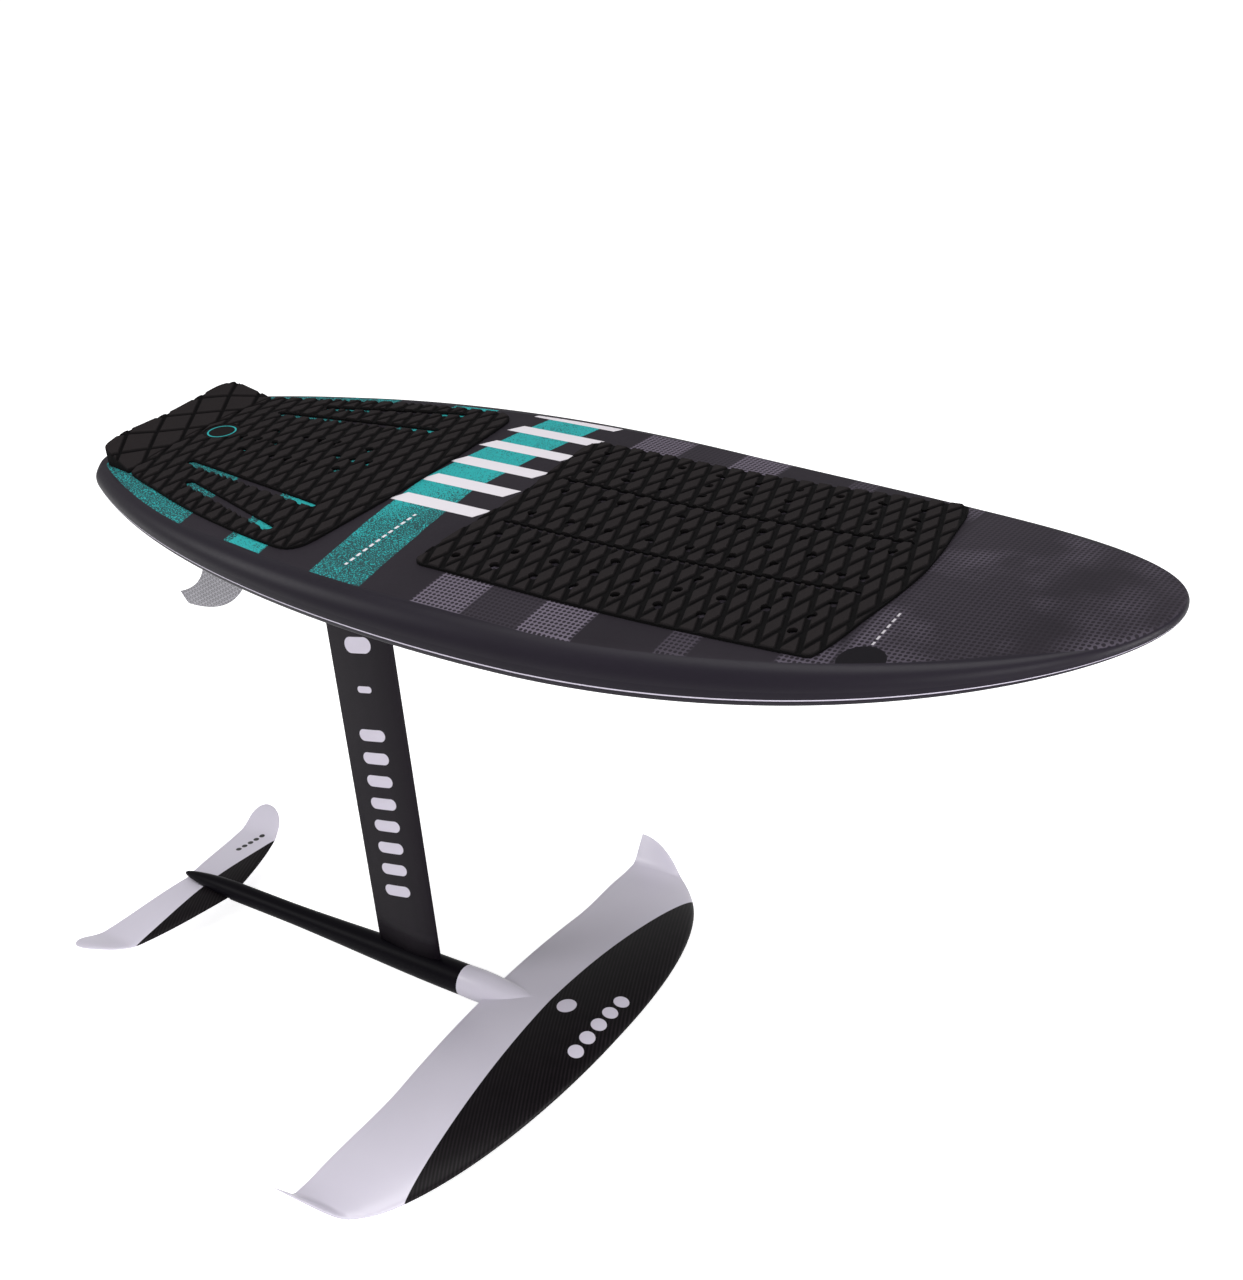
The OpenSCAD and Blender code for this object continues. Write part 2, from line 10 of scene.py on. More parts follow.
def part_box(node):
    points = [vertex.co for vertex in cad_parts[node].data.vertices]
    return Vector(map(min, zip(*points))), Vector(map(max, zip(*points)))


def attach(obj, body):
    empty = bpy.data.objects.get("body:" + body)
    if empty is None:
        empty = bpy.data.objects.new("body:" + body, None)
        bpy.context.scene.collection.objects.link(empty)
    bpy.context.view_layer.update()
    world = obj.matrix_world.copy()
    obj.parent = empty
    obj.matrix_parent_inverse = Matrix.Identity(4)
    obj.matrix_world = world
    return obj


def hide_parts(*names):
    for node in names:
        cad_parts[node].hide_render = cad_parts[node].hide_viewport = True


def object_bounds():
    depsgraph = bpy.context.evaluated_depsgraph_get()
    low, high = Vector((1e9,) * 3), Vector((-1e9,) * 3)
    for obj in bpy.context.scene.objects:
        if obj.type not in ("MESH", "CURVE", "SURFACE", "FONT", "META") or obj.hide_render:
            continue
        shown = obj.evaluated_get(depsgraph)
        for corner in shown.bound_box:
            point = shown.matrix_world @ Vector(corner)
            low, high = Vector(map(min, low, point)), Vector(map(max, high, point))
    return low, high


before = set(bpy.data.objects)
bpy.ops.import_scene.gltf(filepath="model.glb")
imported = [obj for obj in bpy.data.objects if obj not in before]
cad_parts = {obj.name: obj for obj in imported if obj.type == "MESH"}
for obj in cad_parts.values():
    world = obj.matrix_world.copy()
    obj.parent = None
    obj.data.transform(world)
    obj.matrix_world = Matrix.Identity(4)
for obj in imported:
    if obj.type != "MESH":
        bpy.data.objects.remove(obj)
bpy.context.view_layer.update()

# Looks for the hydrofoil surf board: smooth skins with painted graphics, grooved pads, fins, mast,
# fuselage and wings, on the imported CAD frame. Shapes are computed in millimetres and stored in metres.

MM = 0.001


# ---------- numbers and curves ----------
def mix(a, b, f):
    return a + (b - a) * f


def clamp(f, low=0.0, high=1.0):
    return max(low, min(high, f))


def smooth(f):
    f = clamp(f)
    return f * f * (3 - 2 * f)


def soft_ramp(t, width):
    """0 below -width and t above +width, with a parabola between."""
    if t <= -width:
        return 0.0
    return t if t >= width else (t + width) ** 2 / (4 * width)


def bezier(points, t):
    s = 1 - t
    weights = (s ** 3, 3 * s * s * t, 3 * s * t * t, t ** 3)
    return tuple(sum(w * p[axis] for w, p in zip(weights, points)) for axis in (0, 1))


def spread(a, b, count):
    """count numbers from a to b, both included."""
    return [mix(a, b, i / (count - 1)) for i in range(count)]


def along(xs, ys, x):
    """Straight-line interpolation of ys over the rising list xs."""
    i = int(clamp(bisect_right(xs, x) - 1, 0, len(xs) - 2))
    f = clamp((x - xs[i]) / (xs[i + 1] - xs[i]))
    return mix(ys[i], ys[i + 1], f)


# ---------- meshes ----------
def build_mesh(name, points, faces, sharp_angle=40):
    mesh = bpy.data.meshes.new(name)
    mesh.from_pydata([(x * MM, y * MM, z * MM) for x, y, z in points], [], faces)
    mesh.update()
    finish_mesh(mesh, sharp_angle)
    piece = bpy.data.objects.new(name, mesh)
    bpy.context.scene.collection.objects.link(piece)
    return piece


def finish_mesh(mesh, sharp_angle):
    """Welds the mesh, turns its faces outward, and shades it smooth up to an angle."""
    work = bmesh.new()
    work.from_mesh(mesh)
    bmesh.ops.remove_doubles(work, verts=work.verts, dist=2e-6)
    bmesh.ops.recalc_face_normals(work, faces=work.faces)
    work.to_mesh(mesh)
    work.free()
    mesh.shade_smooth()
    mesh.set_sharp_from_angle(angle=math.radians(sharp_angle))


def grid_faces(rows, columns, start=0, closed=False):
    """Quads over a grid of points stored row by row; closed joins the last column to the first."""
    faces = []
    for r in range(rows - 1):
        for c in range(columns if closed else columns - 1):
            a = start + r * columns + c
            b = start + r * columns + (c + 1) % columns
            faces.append((a, b, b + columns, a + columns))
    return faces


def loft(rings):
    """Points and faces of a closed body through rings of equal length. A ring goes out along one side
    and comes back along the other, so a strip of quads closes each end."""
    size = len(rings[0])
    points = [p for ring in rings for p in ring]
    faces = grid_faces(len(rings), size, closed=True)
    for base in (0, (len(rings) - 1) * size):
        for i in range((size - 1) // 2):
            quad = (base + i, base + i + 1, base + size - 2 - i, base + size - 1 - i)
            faces.append(tuple(dict.fromkeys(quad)))
    return points, faces


def capped(rings):
    """Points and faces of a closed body through closed rings, with one flat face on each end."""
    size = len(rings[0])
    points = [p for ring in rings for p in ring]
    faces = grid_faces(len(rings), size, closed=True)
    last = (len(rings) - 1) * size
    faces += [tuple(reversed(range(size))), tuple(range(last, last + size))]
    return points, faces


def mirror_y(points, faces):
    """The same faces on both sides of the plane y = 0."""
    shift = len(points)
    flipped = [(x, -y, z) for x, y, z in points]
    return points + flipped, faces + [tuple(i + shift for i in reversed(face)) for face in faces]


def apply_modifier(piece, kind, **settings):
    modifier = piece.modifiers.new(kind.lower(), kind)
    for key, value in settings.items():
        setattr(modifier, key, value)
    evaluated = piece.evaluated_get(bpy.context.evaluated_depsgraph_get())
    mesh = bpy.data.meshes.new_from_object(evaluated)
    piece.modifiers.clear()
    piece.data = mesh


def cut(piece, cutters, operation="DIFFERENCE"):
    """Cuts (or joins, or keeps only) the cutters from the piece, and removes the cutters."""
    for cutter in cutters:
        apply_modifier(piece, "BOOLEAN", object=cutter, operation=operation, solver="EXACT")
        bpy.data.objects.remove(cutter)
    return piece


def box_piece(low, high):
    corners = [(x, y, z) for x in (low[0], high[0]) for y in (low[1], high[1]) for z in (low[2], high[2])]
    faces = [(0, 1, 3, 2), (4, 6, 7, 5), (0, 4, 5, 1), (2, 3, 7, 6), (0, 2, 6, 4), (1, 5, 7, 3)]
    return build_mesh("cutter", corners, faces)


def lathe_piece(name, profile, centre, axis, sides):
    """A closed body of revolution. profile is [(distance along the axis, radius)], axis "x" or "z"."""
    rings = []
    for distance, radius in profile:
        ring = []
        for i in range(sides):
            angle = 2 * math.pi * i / sides
            a = radius * math.cos(angle)
            b = radius * math.sin(angle)
            offset = (distance, a, b) if axis == "x" else (a, b, distance)
            ring.append(tuple(c + o for c, o in zip(centre, offset)))
        rings.append(ring)
    return build_mesh(name, *capped(rings))


def drill(x, y, low, high, radius, sides=32):
    return lathe_piece("drill", [(low, radius), (high, radius)], (x, y, 0), "z", sides)


# ---------- the board's form, as in the CAD ----------
BOARD_LENGTH = 1329
BOARD_WIDTH = 520
RAIL_THICKNESS = 59
NOSE_RISE = 84
TAIL_RISE = 28
DECK_CROWN = 12
FULL_CROWN_W = 200
NOSE_X = 0.5847 * BOARD_LENGTH
TAIL_X = NOSE_X - BOARD_LENGTH
HALF_W = BOARD_WIDTH / 2
WIDE_X = 30
LOW_X = 190
LOW_EDGE = -10.5
FLAT_HALF = 70
FLAT_FRONT = 110
FLAT_BACK = -400
FLAT_BLEND = 250
FLAT_SHARE = 0.4
PLATE_PLANE = -0.3
CORNER_X = TAIL_X + 17
CORNER_W = 135
STERN_W = 95
TIP_T = 12
STERN_LOSS = 28
# Powers of the curves that lift the ends and thin the rail towards them.
TAIL_LIFT_POWER = 1.3
NOSE_LIFT_POWER = 2.1
TAIL_THIN_POWER = 1.75
NOSE_THIN_POWER = 2.5
# Shares of the rail's thickness: height of the parting line, width of the shoulder and of the tuck.
PARTING = 0.42
SHOULDER = 0.5
TUCK = 0.14
LEAST_TUCK = 0.8
SKIN = 1.8
SKIN_STEPS = 24
SKIN_SHARP = 60
# The stern's edge is only eased, and over some outline points the rail widens to its full rounding.
STERN_EASE = 3.2
STERN_BLEND = 7

NOSE_CURVE = ((WIDE_X, HALF_W), (WIDE_X + 330, HALF_W), (NOSE_X, 160), (NOSE_X, 0))
TAIL_CURVE = ((WIDE_X, HALF_W), (WIDE_X - 240, HALF_W), (CORNER_X + 135, 213), (CORNER_X, CORNER_W))
CORNER_CURVE = ((CORNER_X, CORNER_W), (CORNER_X - 10, CORNER_W - 6), (TAIL_X, 118), (TAIL_X, STERN_W))
# Points across the stern and round the rest of the half outline.
ACROSS = 16
CORNER_STEPS = 12
TAIL_STEPS = 56
NOSE_STEPS = 90


def plan_outline():
    """Half outline from the middle of the stern round to the nose tip, as (x, y)."""
    stern = [(TAIL_X, y) for y in spread(0, STERN_W, ACROSS + 1)]
    corner = [bezier(CORNER_CURVE, 1 - t) for t in spread(0, 1, CORNER_STEPS)[1:]]
    tail = [bezier(TAIL_CURVE, 1 - t) for t in spread(0, 1, TAIL_STEPS)[1:]]
    nose = [bezier(NOSE_CURVE, t) for t in spread(0, 1, NOSE_STEPS)[1:]]
    return stern + corner + tail + nose


OUTLINE = plan_outline()
OUTLINE_X = [x for x, y in OUTLINE[ACROSS:]]
OUTLINE_Y = [y for x, y in OUTLINE[ACROSS:]]


def width_at(x):
    return along(OUTLINE_X, OUTLINE_Y, x)


def edge_z(x):
    """Height of the bottom edge of the rail."""
    if x < LOW_X:
        return LOW_EDGE + TAIL_RISE * ((LOW_X - x) / (LOW_X - TAIL_X)) ** TAIL_LIFT_POWER
    return LOW_EDGE + NOSE_RISE * ((x - LOW_X) / (NOSE_X - LOW_X)) ** NOSE_LIFT_POWER


def rail_t(x):
    """Thickness of the board in its middle plane."""
    if x < LOW_X:
        return RAIL_THICKNESS - STERN_LOSS * ((LOW_X - x) / (LOW_X - TAIL_X)) ** TAIL_THIN_POWER
    loss = RAIL_THICKNESS - TIP_T
    return RAIL_THICKNESS - loss * ((x - LOW_X) / (NOSE_X - LOW_X)) ** NOSE_THIN_POWER


def crown_width(x):
    return max(width_at(max(x, CORNER_X)), 1.0)


def crown(w):
    return DECK_CROWN * min(1.0, w / FULL_CROWN_W)


def deck_z(x, y):
    w = crown_width(x)
    return edge_z(x) + rail_t(x) - crown(w) * min(1.0, abs(y) / w) ** 2


def parting_z(x):
    return edge_z(x) + PARTING * (rail_t(x) - crown(crown_width(x)))


def keel_z(x):
    if x > FLAT_FRONT:
        return mix(PLATE_PLANE, edge_z(x), smooth((x - FLAT_FRONT) / FLAT_BLEND))
    if x < FLAT_BACK:
        return mix(PLATE_PLANE, edge_z(x), smooth((FLAT_BACK - x) / FLAT_BLEND))
    return PLATE_PLANE


def hull_z(x, y):
    flat = crown_width(x) - TUCK * rail_t(x)
    strip = min(FLAT_HALF, FLAT_SHARE * flat)
    return mix(keel_z(x), edge_z(x), smooth((abs(y) - strip) / (flat - strip)))


def outward(i):
    """Unit normal of the outline at its point i."""
    if i <= ACROSS:
        return -1.0, 0.0
    if i == len(OUTLINE) - 1:
        return 1.0, 0.0
    dx = OUTLINE[i + 1][0] - OUTLINE[i - 1][0]
    dy = OUTLINE[i + 1][1] - OUTLINE[i - 1][1]
    size = math.hypot(dx, dy)
    return -dy / size, dx / size


def rail_width(i, inset):
    """Width of the rounded rail at the outline's point i: the stern is cut square, with an eased edge."""
    return mix(STERN_EASE, inset(OUTLINE[i][0]), smooth((i - ACROSS - 1) / STERN_BLEND))


def skin_surface(surface, inset):
    """Half of one skin: a rounded rail that is inset(x) wide, then the open surface within it.
    surface(x, y) gives the height away from the rail."""
    rail = []
    for i, (x, y) in enumerate(OUTLINE):
        nx, ny = outward(i)
        apex = parting_z(x)
        for a in spread(90, 0, SKIN_STEPS):
            q = rail_width(i, inset) * (1 - math.sin(math.radians(a)))
            px = x - nx * q
            py = max(0.0, y - ny * q)
            rail.append((px, py, apex + (surface(px, py) - apex) * math.cos(math.radians(a))))
    faces = grid_faces(len(OUTLINE), SKIN_STEPS)
    inner = [rail[i * SKIN_STEPS + SKIN_STEPS - 1] for i in range(ACROSS, len(OUTLINE))]
    middle = []
    for px, py, pz in inner:
        for y in spread(0, py, ACROSS + 1):
            middle.append((px, y, surface(px, y)))
    faces += grid_faces(len(inner), ACROSS + 1, start=len(rail))
    return mirror_y(rail + middle, faces)


def shoulder(x):
    return SHOULDER * (rail_t(x) - crown(crown_width(x)))


def tuck(x):
    return max(TUCK * (rail_t(x) - crown(crown_width(x))), LEAST_TUCK)


def skin_piece(name, surface, inset):
    points, faces = skin_surface(surface, inset)
    piece = build_mesh(name, points, faces, SKIN_SHARP)
    apply_modifier(piece, "SOLIDIFY", thickness=SKIN * MM, offset=-1, use_even_offset=True)
    finish_mesh(piece.data, SKIN_SHARP)
    return piece


# ---------- pads: sheets of raised diamonds cut to shape, then laid on the deck ----------
PAD_T = 5
GLUE = 0.6
GROOVE_DEPTH = 2.8
EDGE_BEVEL = 1.8
PAD_SHARP = 25
HOLE_R = 5.5
SLOT_PARTS = 40


def diamond_sheet(x_range, y_range, pattern):
    """A closed slab whose top is raised diamonds, over at least the ranges. The pattern gives the pitch
    along x and y, the middle of one diamond, and the width of a groove at its top and on its floor."""
    pitch, centre, groove = pattern
    spacing = pitch[0] * pitch[1] / math.hypot(*pitch)
    bevel = groove[0] / 2 / spacing
    floor = groove[1] / 2 / spacing
    marks = ((-0.5, False), (floor - 0.5, False), (bevel - 0.5, True), (0.5 - bevel, True),
             (0.5 - floor, False), (0.5, False))
    index = {}
    top = []
    points = []

    def corner(u, v, high):
        key = (round(u, 4), round(v, 4))
        if key not in index:
            index[key] = len(points)
            x = centre[0] + pitch[0] * (u + v) / 2
            y = centre[1] + pitch[1] * (u - v) / 2
            points.append((x, y, PAD_T if high else PAD_T - GROOVE_DEPTH))
        return index[key]

    for i, j in diamond_cells(x_range, y_range, pitch, centre):
        lines_u = [(i + m, high) for m, high in marks]
        lines_v = [(j + m, high) for m, high in marks]
        for (u0, hu0), (u1, hu1) in zip(lines_u, lines_u[1:]):
            for (v0, hv0), (v1, hv1) in zip(lines_v, lines_v[1:]):
                top.append((corner(u0, v0, hu0 and hv0), corner(u1, v0, hu1 and hv0),
                            corner(u1, v1, hu1 and hv1), corner(u0, v1, hu0 and hv1)))
    return close_slab(points, top)


def diamond_cells(x_range, y_range, pitch, centre):
    """Row and column of each diamond whose middle lies within one pitch of the ranges."""
    reach = int((x_range[1] - x_range[0]) / pitch[0] + (y_range[1] - y_range[0]) / pitch[1]) + 2
    cells = []
    for i in range(-reach, reach + 1):
        for j in range(-reach, reach + 1):
            x = centre[0] + pitch[0] * (i + j) / 2
            y = centre[1] + pitch[1] * (i - j) / 2
            near_x = x_range[0] - pitch[0] < x < x_range[1] + pitch[0]
            near_y = y_range[0] - pitch[1] < y < y_range[1] + pitch[1]
            if near_x and near_y:
                cells.append((i, j))
    return cells


def close_slab(points, top):
    """Adds a flat bottom at height 0 and side walls under the top faces."""
    count = len(points)
    points = points + [(x, y, 0) for x, y, z in points]
    edges = {(face[k], face[(k + 1) % 4]) for face in top for k in range(4)}
    walls = [(b, a, a + count, b + count) for a, b in edges if (b, a) not in edges]
    bottom = [tuple(i + count for i in reversed(face)) for face in top]
    return points, top + bottom + sorted(walls)


def round_corners(corners, radii, step=6):
    """A closed outline through corners, each rounded by its radius, with a point about every step."""
    outline = []
    count = len(corners)
    for i, (corner, radius) in enumerate(zip(corners, radii)):
        here = Vector(corner)
        back = Vector(corners[i - 1]) - here
        following = (i + 1) % count
        ahead = Vector(corners[following]) - here
        start = here + back.normalized() * min(radius, back.length / 2)
        end = here + ahead.normalized() * min(radius, ahead.length / 2)
        outline += [start * (1 - t) ** 2 + here * 2 * t * (1 - t) + end * t * t for t in spread(0, 1, 7)]
        far = Vector(corners[following]) - ahead.normalized() * min(radii[following], ahead.length / 2)
        pieces = max(1, int((far - end).length / step))
        outline += [end.lerp(far, k / pieces) for k in range(1, pieces)]
    return [p for i, p in enumerate(outline) if (p - outline[i - 1]).length > 0.05]


def inset_outline(outline, distance):
    """The outline moved inward; it runs anticlockwise."""
    moved = []
    for i, p in enumerate(outline):
        along_edge = (outline[(i + 1) % len(outline)] - outline[i - 1]).normalized()
        moved.append(p + Vector((-along_edge.y, along_edge.x)) * distance)
    return moved


def prism(outline, levels):
    """A closed body through copies of an outline, one for each (height, inset)."""
    rings = [[(p.x, p.y, height) for p in inset_outline(outline, inset)] for height, inset in levels]
    return build_mesh("prism", *capped(rings))


def joined(pieces):
    """One object from several that don't touch."""
    work = bmesh.new()
    for piece in pieces:
        work.from_mesh(piece.data)
        bpy.data.objects.remove(piece)
    mesh = bpy.data.meshes.new("joined")
    work.to_mesh(mesh)
    work.free()
    piece = bpy.data.objects.new("joined", mesh)
    bpy.context.scene.collection.objects.link(piece)
    return piece


def hole(x, y):
    return drill(x, y, -1, PAD_T + 1, HOLE_R, sides=20)


def slot(a, b, width):
    """A cutter for a straight slot with round ends, from a to b. Its long sides are divided, so that they
    can bend with the deck."""
    start = Vector(a)
    end = Vector(b)
    turn = math.atan2(end.y - start.y, end.x - start.x)
    outline = []
    for centre, first in ((end, -90), (start, 90)):
        for step in spread(0, 180, 9):
            angle = turn + math.radians(first + step)
            outline.append(centre + Vector((math.cos(angle), math.sin(angle))) * width / 2)
    dense = []
    for i, p in enumerate(outline):
        q = outline[(i + 1) % len(outline)]
        parts = SLOT_PARTS if (q - p).length > width else 1
        dense += [p.lerp(q, k / parts) for k in range(parts)]
    return prism(dense, ((-1, 0), (PAD_T + 1, 0)))


def lay_on_deck(piece, thickness):
    """Bends a flat pad onto the deck; thickness(x, y) is its height where a diamond's top would be."""
    mesh = piece.data
    floor = PAD_T - GROOVE_DEPTH
    raised = []
    for vertex in mesh.vertices:
        x, y, h = vertex.co / MM
        total = thickness(x, y)
        height = h / floor * (total - GROOVE_DEPTH) if h < floor else total - PAD_T + h
        vertex.co.z = (deck_z(x, y) + GLUE + height) * MM
        raised.append(clamp((h - floor) / GROOVE_DEPTH))
    # raised is how far a point stands above the groove floor, as a share of the groove depth; the pad
    # material uses it to paint shade into the grooves.
    mesh.attributes.new("raised", "FLOAT", "POINT").data.foreach_set("value", raised)
    finish_mesh(mesh, PAD_SHARP)


def pad_piece(name, outline, pattern, holes, badge=None, thickness=lambda x, y: PAD_T):
    xs = [p.x for p in outline]
    ys = [p.y for p in outline]
    points, faces = diamond_sheet((min(xs), max(xs)), (min(ys), max(ys)), pattern)
    piece = build_mesh(name, points, faces)
    trim = prism(outline, ((-2, 0), (PAD_T - EDGE_BEVEL, 0), (PAD_T + 1, 1.2 * EDGE_BEVEL)))
    cut(piece, [trim], "INTERSECT")
    if holes:
        cut(piece, [joined(holes)])
    if badge:
        cut(piece, [drill(*badge, PAD_T - 1.6, PAD_T + 1, BADGE_R + 0.6, 64)])
        cut(piece, [drill(*badge, 1, PAD_T - 1.3, BADGE_R, 64)], "UNION")
    lay_on_deck(piece, thickness)
    return piece


FRONT_PAD_W = 175
FRONT_PAD_BACK = (2, 10, 18)
FRONT_PAD_FRONT = (486, 514, 518)
FRONT_PATTERN = ((22.6, 64), (269, -16.5), (7.8, 3.6))
FRONT_SLOT_X = (42, 475)
FRONT_SLOT_Y = 60
FRONT_SLOT_W = 7
HOLE_STEP = 51
HOLE_COUNT = 9
# Rows of holes, as (first x, y): beside the middle line, then outside the slots.
INNER_ROW = (60, 32)
HOLE_ROWS = ((54, 88), (46, 116), (42, 148))


def front_pad_outline():
    back_side, back_kink, back_middle = FRONT_PAD_BACK
    front_side, front_kink, front_middle = FRONT_PAD_FRONT
    w = FRONT_PAD_W
    near = [(back_side, -w), (front_side, -w - 5), (front_side + 10, -150), (front_kink, -50)]
    far = [(x, -y) for x, y in reversed(near)]
    corners = near + [(front_middle, 0)] + far + [(back_kink, 80), (back_middle, 0), (back_kink, -80)]
    radii = (15, 8, 12, 30, 30, 30, 12, 8, 15, 30, 30, 30)
    return round_corners(corners, radii)


def front_pad_holes():
    """Two slots and rows of holes; the half steps hold a pair of holes in every third place, else one."""
    first, beside = INNER_ROW
    back, front = FRONT_SLOT_X
    found = []
    for side in (-1, 1):
        found.append(slot((back, side * FRONT_SLOT_Y), (front, side * FRONT_SLOT_Y), FRONT_SLOT_W))
        for i in range(HOLE_COUNT):
            found.append(hole(first + HOLE_STEP * i, side * beside))
            found += [hole(x + HOLE_STEP * i, side * y) for x, y in HOLE_ROWS]
            if i % 3 == 1:
                found.append(hole(first + HOLE_STEP * (i + 0.5), side * beside))
    found += [hole(first + HOLE_STEP * (i + 0.5), 0) for i in range(HOLE_COUNT) if i % 3 != 1]
    return found


REAR_PAD_FRONT = -117
REAR_PAD_BACK = -478
REAR_PAD_BOW = 21
REAR_MIDDLE = -305
# Distance of the pad's sides from the board's, behind the change and ahead of it.
REAR_PAD_GAPS = (36, 41)
GAP_CHANGE_X = -480
GAP_CHANGE_L = 80
# Slots of one side, each as (end, end), and the rows of holes in half steps from the middle.
REAR_SLOTS = (((-418, 83), (-193, 116)), ((-378, 126), (-200, 179)))
REAR_SLOT_W = 12
REAR_ROW_Y = 31
REAR_ROW = (-3, -1, 0, 1, 3)
REAR_MIDDLE_ROW = (-4, -3, -2, 2, 3, 4)
REAR_PATTERN = ((22.7, 64), (-310, 10.5), (7.8, 3.6))
BADGE_AT = (-447, 2)
BADGE_R = 23
BADGE_RING = (16.5, 18.5)


def rear_pad_side(x):
    return width_at(x) - mix(*REAR_PAD_GAPS, smooth((x - GAP_CHANGE_X) / GAP_CHANGE_L))


def rear_pad_outline():
    corner_x = REAR_PAD_FRONT - REAR_PAD_BOW
    side = [(x, rear_pad_side(x)) for x in (*spread(REAR_PAD_BACK, corner_x - 60, 14), corner_x)]
    front = [(REAR_PAD_FRONT - REAR_PAD_BOW * (y / 200) ** 2, y) for y in (140, 70, 0, -70, -140)]
    corners = side + front + [(x, -y) for x, y in reversed(side)]
    radii = [8] + [10] * 13 + [42] + [20] * 5 + [42] + [10] * 13 + [8]
    return round_corners(list(reversed(corners)), radii)


def rear_pad_holes():
    found = []
    for side in (-1, 1):
        for (x0, y0), (x1, y1) in REAR_SLOTS:
            found.append(slot((x0, side * y0), (x1, side * y1), REAR_SLOT_W))
        found += [hole(REAR_MIDDLE + HOLE_STEP / 2 * i, side * REAR_ROW_Y) for i in REAR_ROW]
    found += [hole(REAR_MIDDLE + HOLE_STEP / 2 * i, 0) for i in REAR_MIDDLE_ROW]
    return found


KICK_BACK = -531
KICK_H = 24
KICK_BACK_HALF = 118
# Lobes along the kick's crest, each as (height, distance from the middle, spread).
KICK_LOBES = ((3, 88, 26), (-3, 0, 40))
KICK_PATTERN = ((35, 65), (-508, -16), (5.4, 2.2))


def kick_height(x, y):
    """Pad thickness on the ramp of the kick, with two low lobes and a dip along its crest."""
    foot = REAR_PAD_BACK - 3
    rise = clamp(soft_ramp(foot - x, 6) / (foot - KICK_BACK))
    lobes = sum(high * math.exp(-((abs(y) - middle) / reach) ** 2) for high, middle, reach in KICK_LOBES)
    return PAD_T + (KICK_H - PAD_T + lobes) * rise


def kick_outline():
    half = rear_pad_side(REAR_PAD_BACK)
    front = REAR_PAD_BACK - 0.5
    corners = [(KICK_BACK, -KICK_BACK_HALF), (front, -half), (front, half), (KICK_BACK, KICK_BACK_HALF)]
    return round_corners(corners, (9, 5, 5, 9), step=4)


# ---------- sections of the fins, mast and wings ----------
def foil_half(f, t):
    """Half thickness of a four-digit section of thickness ratio t, at the share f of its chord."""
    curve = 0.2969 * math.sqrt(f) - 0.126 * f - 0.3516 * f * f + 0.2843 * f ** 3 - 0.1036 * f ** 4
    return 5 * t * curve


# Half thickness that a section keeps at its tail.
TAIL_EDGE = 0.4


def foil_ring(c, t, m, n):
    """Round a section of chord c, thickness ratio t and camber m, from its tail over the top and back."""
    ring = []
    for i in range(-n, n + 1):
        f = math.sin(math.pi / 2 * i / n) ** 2
        side = 1 if i < 0 else -1
        ring.append((-c * f, c * m * 4 * f * (1 - f) + side * (c * foil_half(f, t) + TAIL_EDGE * f)))
    return ring


FIN_X = -294
FIN_Y = 166
FIN_CANT = 5
FIN_FRONT = ((44, 0), (34, 48), (4, 92), (-72, 90))
FIN_BACK = ((-44, 0), (-30, 34), (-44, 62), (-84, 76))
FIN_RATIO = 0.08
FIN_DROP = 1.5
FIN_STEPS = 40
TAB_HALF = (30, 3)
TAB_Z = (-3, 12)


def fin_piece(name, side):
    share = smooth((FIN_Y - FLAT_HALF) / (width_at(FIN_X) - FLAT_HALF))
    floor = mix(keel_z(FIN_X), edge_z(FIN_X), share)
    rings = []
    for t in spread(0, 1, FIN_STEPS):
        front = Vector(bezier(FIN_FRONT, t))
        back = Vector(bezier(FIN_BACK, t))
        chord = (front - back).length
        ring = []
        for x, y in foil_ring(chord, FIN_RATIO, 0, 20):
            q = front.lerp(back, -x / chord)
            ring.append((q.x, y, -FIN_DROP - q.y))
        rings.append(ring)
    piece = build_mesh(name, *loft(rings), sharp_angle=50)
    tilt = Matrix.Rotation(math.radians(side * FIN_CANT), 4, "X")
    place = Matrix.Translation(Vector((FIN_X, side * FIN_Y, floor)) * MM)
    piece.data.transform(place @ tilt)
    along_x, across = TAB_HALF
    low, high = TAB_Z
    tab = box_piece((FIN_X - along_x, side * FIN_Y - across, floor + low),
                    (FIN_X + along_x, side * FIN_Y + across, floor + high))
    return cut(piece, [tab], "UNION")


# ---------- mast, fuselage and wings ----------
AXIS_Z = -718
MAST_X = -265
MAST_CHORD = 110
MAST_T = 15
FUSE_FRONT = -170
FUSE_BACK = -711
# The fuselage's outline as (x, radius).
FUSE_PROFILE = ((-711, 1), (-709.5, 2.4), (-706, 4), (-698, 6), (-684, 8.4), (-665, 10.8), (-640, 13),
                (-610, 14.2), (-560, 14.5), (-477, 15), (-390, 17.2), (-320, 19.4), (-260, 21),
                (-210, 21.8), (-170, 22))
PROFILE_STEPS = 4
SPIGOT_R = 15
SPIGOT_L = 67
SEAT_Z = AXIS_Z - 4.5
SEAT_FRONT = -608
SEAT_HALF = 20
COLLAR_R = 22
COLLAR_SIDES = 56
COLLAR_END = -52
COLLAR_TAPER_X = -150
COLLAR_BULGE = 0.6
COLLAR_BULGE_L = 60
# Half heights of the collar's end above and below its middle.
COLLAR_TOP = 17.4
COLLAR_BELLY = 6
FRONT_HALF_SPAN = 418
REAR_HALF_SPAN = 205
REAR_CLOSE = 172
FOOT_SCREWS = (-34, 0, 34)
WING_SCREWS = (-152, -118)
TAIL_SCREWS = (-662, -630)
# Wells for the screws' heads, as (depth of the floor below the axis or seat, radius).
FOOT_WELL = (12, 5.6)
WING_WELL = (18, 5.4)
TAIL_WELL = (7.5, 4.8)
WELL_BOTTOM = 40


def screw_wells(places, level, well):
    """Cutters for the wells under a level, open downward."""
    depth, radius = well
    return joined([drill(x, 0, level - WELL_BOTTOM, level - depth, radius) for x in places])


